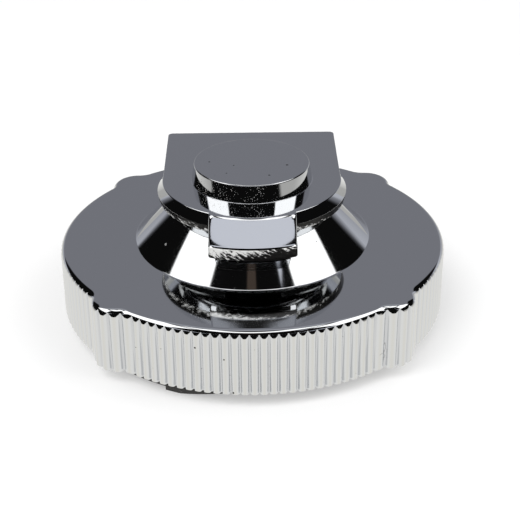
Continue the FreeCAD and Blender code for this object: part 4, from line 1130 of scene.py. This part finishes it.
def roughened(made, jitter, low, high, least_reach):
    """Cuts the rough band finer, moves its points a little and gives it the second material."""
    work = bmesh.new()
    work.from_mesh(made.data)
    band = [face for face in work.faces
            if low - MM < face.calc_center_median().z < high and in_band(face, low, high, least_reach)]
    edges = {edge for face in band for edge in face.edges
             if abs(edge.verts[0].co.z - edge.verts[1].co.z) > 0.6 * (high - low)}
    if edges:
        bmesh.ops.subdivide_edges(work, edges=list(edges), cuts=BAND_CUTS, use_grid_fill=True)
    slack = BAND_SLACK * (high - low)
    for vertex in work.verts:
        inside = low + slack < vertex.co.z < high - slack
        if inside and Vector(vertex.co[:2]).length > least_reach:
            outward = Vector((vertex.co.x, vertex.co.y, 0)).normalized()
            vertex.co -= outward * jitter.uniform(0, BAND_ROUGHNESS)
    for face in work.faces:
        if in_band(face, low, high, least_reach):
            face.material_index = 1
    work.to_mesh(made.data)
    work.free()


def in_band(face, low, high, least_reach):
    middle = face.calc_center_median()
    slack = BAND_SLACK * (high - low)
    heights = [vertex.co.z for vertex in face.verts]
    reach = min(Vector(vertex.co[:2]).length for vertex in face.verts)
    within = min(heights) > low - slack and max(heights) < high + slack and middle.z < high
    return within and max(heights) - min(heights) > 1e-7 and reach > least_reach


TAB_SEED = 11
TAB_STEPS = 24
TAB_BAND_SHARES = (0.12, 0.3, 0.5, 0.7, 0.88)
TAB_FACE_SHARES = (0.3, 0.6, 0.9)
TAB_FACE_INSET = 0.08 * MM
TAB_TOP_EDGE = ((0.0, 0.33), (0.012, 0.31), (0.2, 0.06), (0.25, 0.02), (0.31, 0.0))


def cover_tab(sizes):
    """Finger tab: a curved bar whose face slopes outwards to a rough trimmed lower band."""
    top = sizes.foot_level + sizes.band_height + sizes.side_height
    foot = sizes.tab_foot_level
    band = foot + sizes.tab_band_height
    slope = (sizes.tab_foot_radius - sizes.tab_top_radius) / (top - foot)
    half, thick = sizes.tab_half_width, sizes.tab_thickness
    jitter = random.Random(TAB_SEED)

    def section(inset, height, rough=0.0):
        face = sizes.tab_top_radius + (top - height) * slope
        width = half - inset
        corners = [(-width, inset, sizes.tab_edge), (width, inset, sizes.tab_edge),
                   (width, thick - inset, 0.3 * MM), (-width, thick - inset, 0.3 * MM)]
        path = rounded_path(corners, 5)
        points = []
        for index, (across, depth) in enumerate(path):
            points.append((across, depth))
            after = path[(index + 1) % len(path)]
            if abs(after[0] - across) > half:
                points += line_points((across, depth), after, TAB_STEPS)[1:]
        result = []
        for across, depth in points:
            reach = face - depth + jitter.uniform(-rough, rough)
            result.append((across, -math.sqrt(max(reach ** 2 - across ** 2, 0)), height))
        return result

    rings = [section(0.3 * MM, foot), section(0.1 * MM, foot + 0.1 * MM)]
    for share in TAB_BAND_SHARES:
        rings.append(section(0, foot + (band - foot) * share, 0.02 * MM))
    rings.append(section(0, band, 0.01 * MM))
    rings.append(section(0.12 * MM, band + 0.12 * MM))
    rings.append(section(TAB_FACE_INSET, band + 0.5 * MM))
    for share in TAB_FACE_SHARES:
        rings.append(section(TAB_FACE_INSET, band + (top - sizes.edge - band) * share))
    for inset, drop in TAB_TOP_EDGE:
        rings.append(section(TAB_FACE_INSET + inset * MM, top - drop * MM))
    count = len(rings[0])
    points = [point for ring in rings for point in ring]
    faces = ring_faces(len(rings), count)
    faces.append(tuple(range(count))[::-1])
    faces.append(tuple(range((len(rings) - 1) * count, len(rings) * count)))
    tab = two_finishes(outward_faces(new_object("cover_tab", points, faces)))
    for face in tab.data.polygons:
        face.material_index = int(foot + 0.03 * MM < face.center.z < band)
    return tab


KNUCKLE_ROUNDING = 0.3 * MM
KNUCKLE_OVERLAP = 0.5 * MM
PIN_PLAY = 0.05 * MM


def cover_knuckle(boss, sizes):
    half = boss.knuckle_width / 2
    roof = sizes.foot_level + sizes.band_height + sizes.side_height - sizes.wall
    eye = rod_on_hinge("knuckle_eye", boss, boss.eye_radius, -half, half, KNUCKLE_ROUNDING)
    arm = rounded_box("knuckle_arm", (-half, boss.hinge_back - boss.eye_radius, boss.hinge_level),
                      (half, sizes.back, roof + KNUCKLE_OVERLAP), KNUCKLE_ROUNDING)
    return combined(eye, [arm], "UNION")


class CAP_OT_cover(bpy.types.Operator):
    """Hinged key cover with its raised disc, finger tab and knuckle"""

    bl_idname = "fuel_cap.cover"
    bl_label = "Key cover"

    def execute(self, context):
        sizes, boss = context.scene.cap_cover, context.scene.cap_boss
        tray = cover_tray(sizes)
        combined(tray, [cover_tab(sizes), cover_knuckle(boss, sizes)], "UNION")
        reach = boss.knuckle_width
        bore = rod_on_hinge("knuckle_bore", boss, boss.pin_radius + PIN_PLAY, -reach, reach)
        combined(tray, [bore], "DIFFERENCE")
        dressed(tray, "key_cover", "rough_cast_chrome")
        return {"FINISHED"}


# Threads, screws and spring


THREAD_STEPS = 8
SCREW_COLUMNS = 24
THREAD_COLUMNS = 48
# Thread groove in shares of the pitch
GROOVE_HALF_WIDTH = 0.42
GROOVE_DEPTH = 0.42
GROOVE_OUTSIDE = 0.3
WIRE_SIDES = 12
WIRE_COLUMNS = 32
FLAT_TURNS = 0.6


def coiled(name, section, steps, per_turn, height_at, middle=(0.0, 0.0)):
    """Bar with a section of (radius, height) along a helix; height_at gives the height after turns."""
    points = []
    for step in range(steps + 1):
        turn = 2 * math.pi * step / per_turn
        height = height_at(step / per_turn)
        points += [(middle[0] + reach * math.cos(turn), middle[1] + reach * math.sin(turn), height + up)
                   for reach, up in section]
    sides, last = len(section), len(section) * steps
    faces = [*ring_faces(steps + 1, sides), tuple(range(sides)), tuple(range(last, last + sides))[::-1]]
    return outward_faces(new_object(name, points, faces))


def thread_groove(radius, low, high, pitch):
    """Three-cornered bar along a helix, to cut a thread out of a rod."""
    outside, half = radius + GROOVE_OUTSIDE * pitch, GROOVE_HALF_WIDTH * pitch
    bar = ((outside, -half), (radius - GROOVE_DEPTH * pitch, 0.0), (outside, half))
    steps = int((high - low) / pitch * THREAD_COLUMNS)
    return coiled("thread_groove", bar, steps, THREAD_COLUMNS, lambda turns: low + pitch * turns)


def wire_spring(name, wire, coil, low, high, turns, middle):
    """Round wire along a helix that fills the given height and lies flat at both ends."""
    circle = [(coil + wire * math.cos(around), wire * math.sin(around))
              for around in even_angles(WIRE_SIDES)]

    def height_at(turned_by):
        share = (turned_by - FLAT_TURNS) / (turns - 2 * FLAT_TURNS)
        return low + wire + (high - low - 2 * wire) * min(1.0, max(0.0, share))

    return coiled(name, circle, turns * WIRE_COLUMNS, WIRE_COLUMNS, height_at, middle)


def threaded_screw(name, head, radius, thread_from, tip, pitch, middle):
    """Upright screw with its head down; the head's path of (radius, height) starts on the axis."""
    columns = SCREW_COLUMNS
    turns = np.array(even_angles(columns))
    depth = 0.5 * pitch
    steps = round((tip - thread_from) / pitch * THREAD_STEPS)
    rows = [(np.full(columns, reach), height) for reach, height in head[1:]]
    for step in range(steps + 1):
        height = thread_from + (tip - thread_from) * step / steps
        wave = np.abs((height / pitch - turns / (2 * math.pi)) % 1.0 * 2 - 1)
        fade = min(1.0, step / THREAD_STEPS)
        point = max(0.0, 1 - (steps - step) / THREAD_STEPS) * depth
        rows.append((radius - depth * (1 - wave) * fade - point, height))
    points = [np.stack([middle[0] + reach * np.cos(turns), middle[1] + reach * np.sin(turns),
                        np.full(columns, height)], axis=1) for reach, height in rows]
    points = [*np.concatenate(points), (*middle, head[0][1]), (*middle, tip)]
    faces = ring_faces(len(rows), columns)
    faces += pole_faces(0, columns, len(points) - 2, True)
    faces += pole_faces(len(rows) - 1, columns, len(points) - 1)
    return outward_faces(new_object(name, points, faces))


FINE_PITCH = 0.5 * MM
HEAD_ROUNDING = 0.45 * MM
FINE_THREAD_LENGTH = 6 * MM
SLOT_HALF_WIDTH = 0.45 * MM
SLOT_DEPTH = 0.8 * MM
COARSE_PITCH = 0.7 * MM
COARSE_THREAD_LENGTH = 8 * MM
SUNK_HEAD_RADIUS = 3.6 * MM
SUNK_HEAD_HEIGHT = 2 * MM
SOCKET_RADIUS = 1.45 * MM
SOCKET_DEPTH = 1.2 * MM
CUT_REACH = 1 * MM


def slotted_screw(name, head_radius, head_height, radius, foot, tip, middle=(0.0, 0.0)):
    """Screw with a round-edged flat head and a driver slot across it."""
    head_top = foot + head_height
    thread_from = max(head_top + 0.3 * MM, tip - FINE_THREAD_LENGTH)
    head = rounded_path([
        (0, foot, 0), (head_radius, foot, HEAD_ROUNDING), (head_radius, head_top, 0.1 * MM),
        (radius, head_top, 0.1 * MM), (radius, thread_from, 0)], closed=False)
    made = threaded_screw(name, head[:-1], radius, thread_from, tip, FINE_PITCH, middle)
    x, y = middle
    reach = head_radius + CUT_REACH
    slot = rounded_box("driver_slot", (x - reach, y - SLOT_HALF_WIDTH, foot - CUT_REACH),
                       (x + reach, y + SLOT_HALF_WIDTH, foot + SLOT_DEPTH), 0)
    return combined(made, [slot], "DIFFERENCE")


def sunk_screw(name, radius, foot, tip, middle):
    """Countersunk screw with a six-sided socket."""
    thread_from = tip - COARSE_THREAD_LENGTH
    head = rounded_path([
        (0, foot, 0), (SUNK_HEAD_RADIUS - 0.05 * MM, foot, 0.08 * MM),
        (SUNK_HEAD_RADIUS, foot + 0.1 * MM, 0.04 * MM), (radius, foot + SUNK_HEAD_HEIGHT, 0.2 * MM),
        (radius, thread_from, 0)], closed=False)
    made = threaded_screw(name, head[:-1], radius, thread_from, tip, COARSE_PITCH, middle)
    socket = plain_rod("socket", SOCKET_RADIUS, foot - CUT_REACH, foot + SOCKET_DEPTH, middle, 6)
    return combined(made, [socket], "DIFFERENCE")


# Lock and hinge pin


BARREL_RADIUS = 10.0 * MM
BARREL_PITCH = 1.0 * MM
THREAD_MARGIN = 0.6 * MM
THREAD_RUN_OUT = 2 * MM
PIN_ROUNDING = 0.4 * MM


class CAP_OT_lock(bpy.types.Operator):
    """Hinge pin, lock barrel, plug, tumblers, nut and seals in the middle of the cap"""

    bl_idname = "fuel_cap.lock"
    bl_label = "Lock"

    def execute(self, context):
        boss = context.scene.cap_boss
        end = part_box("hinge_pin")[1].x
        pin = rod_on_hinge("hinge_pin_rod", boss, boss.pin_radius, -end, end, PIN_ROUNDING, ROUND_STEPS)
        dressed(pin, "hinge_pin")
        barrel = softened("lock_barrel", 0.2 * MM)
        groove = thread_groove(BARREL_RADIUS, level("lock_barrel", 0) * MM + THREAD_MARGIN,
                               level("barrel_nut", 1) * MM + THREAD_RUN_OUT, BARREL_PITCH)
        dressed(combined(barrel, [groove], "DIFFERENCE"), "lock_barrel")
        for node, rounding in (("lock_plug", 0.12), ("lock_wafers", 0.05), ("barrel_nut", 0.2),
                               ("plug_clip", 0.08), ("barrel_seal", 0.25), ("housing_seal", 0.25)):
            softened_copy(node, rounding * MM)
        return {"FINISHED"}


CAM_HEAD_HEIGHT = 2.1 * MM
CAM_SCREW_RADIUS = 1.5 * MM


class CAP_OT_bolts(bpy.types.Operator):
    """Cam disc, its screw and the two sliding bolts"""

    bl_idname = "fuel_cap.bolts"
    bl_label = "Cam and bolts"

    def execute(self, context):
        for node, rounding in (("cam_disc", 0.15), ("right_bolt", 0.2), ("left_bolt", 0.2)):
            softened_copy(node, rounding * MM)
        low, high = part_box("cam_screw")
        screw = slotted_screw("cam_screw_piece", high.x, CAM_HEAD_HEIGHT, CAM_SCREW_RADIUS,
                              low.z, high.z)
        dressed(screw, "cam_screw")
        return {"FINISHED"}


SPRING_WIRE = 0.3 * MM
SPRING_COIL = 1.9 * MM
SPRING_HEIGHT = 4.8 * MM
SPRING_TURNS = 3


class CAP_OT_housing(bpy.types.Operator):
    """Lock housing, cover plate and vent valve"""

    bl_idname = "fuel_cap.housing"
    bl_label = "Housing and vent"

    def execute(self, context):
        for node, rounding in (("lock_housing", 0.3), ("cover_plate", 0.2), ("vent_poppet", 0.1),
                               ("vent_retainer", 0.08)):
            softened_copy(node, rounding * MM)
        low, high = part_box("housing_screws")
        screws = [sunk_screw(f"housing_screw_{azimuth}", HOUSING_SCREW_RADIUS, low.z, high.z, place)
                  for azimuth, place in screw_places("housing_screws")]
        dressed(gathered("housing_screw_set", screws), "housing_screws")
        low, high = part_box("vent_spring")
        foot = level("vent_retainer", 1) * MM
        spring = wire_spring("vent_spring_wire", SPRING_WIRE, SPRING_COIL, foot, foot + SPRING_HEIGHT,
                             SPRING_TURNS, (0.0, (low.y + high.y) / 2))
        dressed(spring, "vent_spring")
        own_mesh(spring)
        return {"FINISHED"}


PAN_HEAD_RADIUS = 2.7 * MM
PAN_HEAD_HEIGHT = 2.0 * MM
GASKET_INNER_RADIUS = 26.7 * MM
GASKET_FACE_RADIUS = 36.4 * MM
GASKET_GROOVES = (29.4, 31.6, 33.8)
GROOVE_WIDTH = 0.7 * MM
GROOVE_HEIGHT = 0.3 * MM


class CAP_OT_ring(bpy.types.Operator):
    """Black bayonet ring, its screws and the gasket"""

    bl_idname = "fuel_cap.ring"
    bl_label = "Bayonet ring and gasket"

    def execute(self, context):
        softened_copy("bayonet_ring", 0.3 * MM)
        low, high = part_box("ring_screws")
        screws = [slotted_screw(f"ring_screw_{azimuth}", PAN_HEAD_RADIUS, PAN_HEAD_HEIGHT,
                                RING_SCREW_RADIUS, low.z, high.z, place)
                  for azimuth, place in screw_places("ring_screws")]
        dressed(gathered("ring_screw_set", screws), "ring_screws")
        dressed(self.gasket(), "gasket")
        return {"FINISHED"}

    def gasket(self):
        """Rubber ring with three shallow grooves in its sealing face."""
        low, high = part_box("gasket")
        rim = level("bayonet_ring", 1) * MM
        corners = [(GASKET_INNER_RADIUS, low.z, 0.35 * MM)]
        for groove in GASKET_GROOVES:
            middle = groove * MM
            corners += [(middle - GROOVE_WIDTH / 2, low.z, 0.08 * MM),
                        (middle, low.z + GROOVE_HEIGHT, 0.08 * MM),
                        (middle + GROOVE_WIDTH / 2, low.z, 0.08 * MM)]
        corners += [(GASKET_FACE_RADIUS, low.z, 0.35 * MM), (GASKET_FACE_RADIUS, rim, 0.1 * MM),
                    (high.x, rim, 0.3 * MM), (high.x, high.z, 0.3 * MM),
                    (GASKET_INNER_RADIUS, high.z, 0.3 * MM)]
        return turned("gasket_ring", rounded_path(corners), 128)


# Stage


CARD_CENTRE_HEIGHT = 0.02
CARD_STEP = 2


def card_material(name, strength, shade):
    """Plain glow that turns clear where the sheet's "cover" value falls to 0."""
    net = Net(bpy.data.materials.new(name))
    glow = net.node("ShaderNodeEmission", {}, {"Color": (*shade, 1), "Strength": strength})
    clear = net.node("ShaderNodeBsdfTransparent", {}, {})
    cover = net.node("ShaderNodeAttribute", {"attribute_name": "cover"}, {}, "Fac")
    return net.shown("ShaderNodeOutputMaterial", net.mixed_shaders(cover, clear, glow))


def card(name, azimuths, elevations, reach, strength, shade, soft):
    """Part of a dome round the cap that only shiny surfaces see; its edges fade over soft angles."""
    soft_first, soft_last, soft_upright = soft
    across = max(2, int(abs(azimuths[1] - azimuths[0]) / CARD_STEP))
    upright = max(2, int(abs(elevations[1] - elevations[0]) / CARD_STEP))
    points = []
    cover = []
    for row in range(upright + 1):
        elevation = elevations[0] + (elevations[1] - elevations[0]) * row / upright
        raised = math.radians(elevation)
        for column in range(across + 1):
            azimuth = azimuths[0] + (azimuths[1] - azimuths[0]) * column / across
            turn = math.radians(azimuth)
            outward = reach * math.cos(raised)
            points.append((outward * math.sin(turn), -outward * math.cos(turn),
                           CARD_CENTRE_HEIGHT + reach * math.sin(raised)))
            within = min(elevation - elevations[0], elevations[1] - elevation)
            share = 1.0
            for inside, fade in ((azimuth - azimuths[0], soft_first),
                                 (azimuths[1] - azimuth, soft_last), (within, soft_upright)):
                share *= min(1.0, inside / fade) if fade else 1.0
            cover.append(share * share * (3 - 2 * share))
    faces = []
    for row in range(upright):
        for column in range(across):
            first = row * (across + 1) + column
            faces.append((first, first + 1, first + across + 2, first + across + 1))
    made = new_object(name, points, faces)
    set_attribute(made, "cover", cover)
    made.data.materials.append(card_material(name, strength, shade))
    for ray in ("camera", "diffuse", "shadow", "transmission"):
        setattr(made, f"visible_{ray}", False)


COOL = (0.95, 0.98, 1.08)
NEUTRAL = (1.0, 1.0, 1.0)
BLACK_LEVEL = 0.004
# Azimuths and elevations in degrees, distance, strength, shade, soft angles
CARDS = (
    ("near_dark_front", (-90, 55), (-4.5, 29), 0.26, BLACK_LEVEL, NEUTRAL, (14, 14, 0)),
    ("far_dark_front", (-126, 119), (1, 36), 0.9, BLACK_LEVEL, NEUTRAL, (10, 10, 0)),
    ("low_front_sheet", (-50, 50), (29, 37), 0.8, 0.69, COOL, (0, 0, 0)),
    ("dark_above_front", (-54, 52), (37, 67), 0.82, BLACK_LEVEL, NEUTRAL, (1, 1, 0)),
    ("warm_patch", (-9, 5), (58, 65), 0.8, 0.06, (1.0, 0.75, 0.6), (1, 1, 0)),
    ("bright_patch", (35, 43), (56, 60), 0.8, 0.6, COOL, (1, 1, 0)),
    ("dark_right", (103, 134), (10, 44), 1.3, BLACK_LEVEL, NEUTRAL, (1, 6, 2)),
    ("dark_left", (-141, -106), (6, 44), 1.3, BLACK_LEVEL, NEUTRAL, (6, 1, 2)),
    ("grey_behind_right", (119, 172), (-9, 13), 1.5, 0.5, COOL, (6, 44, 4)),
    ("grey_behind_left", (-172, -124), (-9, 9), 1.5, 0.5, COOL, (44, 6, 4)),
    ("backdrop", (100, 260), (-2, 72), 1.7, 0.215, (0.93, 0.95, 1.07), (4, 4, 0)),
    ("upper_backdrop", (110, 250), (58, 85), 1.65, 0.34, COOL, (10, 10, 8)),
    ("dark_before_rim", (-80, 55), (-8.1, 4), 0.14, BLACK_LEVEL, NEUTRAL, (8, 8, 0)),
    ("side_sheet_right", (48, 103), (35, 66), 1.2, 1.5, NEUTRAL, (1, 1, 1)),
    ("side_sheet_left", (-106, -50), (35, 66), 1.2, 1.5, NEUTRAL, (1, 1, 1)),
    ("strip_above_front", (-100, 100), (68, 82), 1.1, 1.5, NEUTRAL, (6, 6, 2)),
    ("dark_dome", (-180, 180), (2, 90), 2.2, 0.02, NEUTRAL, (0, 0, 0)),
)


FLOOR_SIDES = 64
FLOOR_WHITE_SHARE = 0.4
FLOOR_GLOW = {"From Min": 0.09, "From Max": 0.24, "To Min": 0.84, "To Max": 0.45}
FLOOR_GLOW_SHADE = (1.0, 0.996, 0.97, 1)
WORLD_LIGHT = 0.86
SENSOR_WIDTH = 36
NEAREST_SEEN = 0.01
LAMP_SIZE = 0.9
LAMPS = (("soft_key", (-0.5, -0.6, 1.1), 9.0), ("soft_fill", (0.8, -0.3, 0.9), 4.0))


class CAP_OT_stage(bpy.types.Operator):
    """Pale floor, soft light, reflector sheets and camera"""

    bl_idname = "fuel_cap.stage"
    bl_label = "Stage"

    def execute(self, context):
        scene = context.scene
        sizes = scene.cap_stage
        self.floor(sizes.floor_radius, scene.cap_finish.floor)
        for sheet in CARDS:
            card(*sheet)
        self.world(scene)
        for lamp in LAMPS:
            self.lamp(*lamp)
        self.camera(scene, sizes)
        scene.view_settings.view_transform = "Standard"
        return {"FINISHED"}

    def floor(self, radius, shade):
        points = [(radius * math.cos(turn), radius * math.sin(turn), 0)
                  for turn in even_angles(FLOOR_SIDES)]
        floor = new_object("floor", points, [tuple(range(FLOOR_SIDES))])
        net = Net(bpy.data.materials.new("pale_floor"))
        matt = net.node("ShaderNodeBsdfDiffuse", {}, {"Color": (*shade, 1)})
        white = net.node("ShaderNodeEmission", {}, {})
        place = net.node("ShaderNodeTexCoord", {}, {}, "Object")
        reach = net.node("ShaderNodeVectorMath", {"operation": "LENGTH"}, {0: place}, "Value")
        fall = net.node("ShaderNodeMapRange", {}, {"Value": reach, **FLOOR_GLOW})
        glow = net.node("ShaderNodeEmission", {}, {"Color": FLOOR_GLOW_SHADE, "Strength": fall})
        paler = net.mixed_shaders(net.ray("Is Camera Ray") * FLOOR_WHITE_SHARE, matt, white)
        upper = net.mixed_shaders(net.ray("Is Glossy Ray"), paler, glow)
        from_below = net.node("ShaderNodeNewGeometry", {}, {}, "Backfacing")
        clear = net.node("ShaderNodeBsdfTransparent", {}, {})
        seen = net.mixed_shaders(from_below, upper, clear)
        floor.data.materials.append(net.shown("ShaderNodeOutputMaterial", seen))

    def world(self, scene):
        scene.world = bpy.data.worlds.new("studio")
        net = Net(scene.world)
        seen = net.node("ShaderNodeBackground", {}, {"Strength": 1.0})
        lit = net.node("ShaderNodeBackground", {}, {"Strength": WORLD_LIGHT})
        direct = net.ray("Is Camera Ray").most(net.ray("Is Glossy Ray"))
        direct = direct.most(net.ray("Is Transmission Ray"))
        net.shown("ShaderNodeOutputWorld", net.mixed_shaders(direct, lit, seen))

    def lamp(self, name, place, power):
        light = bpy.data.lights.new(name, "AREA")
        light.shape = "DISK"
        light.size = LAMP_SIZE
        light.energy = power
        made = linked(name, light)
        made.location = place
        made.rotation_euler = (-Vector(place)).to_track_quat("-Z", "Y").to_euler()
        made.visible_glossy = False

    def camera(self, scene, sizes):
        data = bpy.data.cameras.new("camera")
        data.lens = sizes.lens
        data.sensor_width = SENSOR_WIDTH
        made = linked("camera", data)
        place, aim = Vector(sizes.camera_place), Vector(sizes.camera_aim)
        look = (aim - place).to_track_quat("-Z", "Y")
        made.rotation_mode = "QUATERNION"
        made.rotation_quaternion = look @ Quaternion((0, 0, 1), sizes.camera_roll)
        made.location = place
        data.clip_start = NEAREST_SEEN
        scene.camera = made


# Panel and start


OPERATORS = (CAP_OT_stage, CAP_OT_casting, CAP_OT_cover, CAP_OT_lock, CAP_OT_bolts, CAP_OT_housing,
             CAP_OT_ring)


class CAP_PT_panel(bpy.types.Panel):
    """Lists the pieces of the fuel cap"""

    bl_idname = "CAP_PT_panel"
    bl_label = "Fuel cap"
    bl_space_type = "VIEW_3D"
    bl_region_type = "UI"
    bl_category = "Fuel cap"

    def draw(self, context):
        for operator in OPERATORS:
            self.layout.operator(operator.bl_idname)


def register():
    for group in GROUPS.values():
        bpy.utils.register_class(group)
    for name, group in GROUPS.items():
        setattr(bpy.types.Scene, name, PointerProperty(type=group))
    for operator in (*OPERATORS, CAP_PT_panel):
        bpy.utils.register_class(operator)


def unregister():
    for operator in (CAP_PT_panel, *reversed(OPERATORS)):
        bpy.utils.unregister_class(operator)
    for name, group in GROUPS.items():
        delattr(bpy.types.Scene, name)
        bpy.utils.unregister_class(group)


def main():
    register()
    bpy.ops.fuel_cap.stage()
    bpy.ops.fuel_cap.casting()
    bpy.ops.fuel_cap.cover()
    bpy.ops.fuel_cap.lock()
    bpy.ops.fuel_cap.bolts()
    bpy.ops.fuel_cap.housing()
    bpy.ops.fuel_cap.ring()
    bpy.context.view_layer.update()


if __name__ == "__main__":
    main()
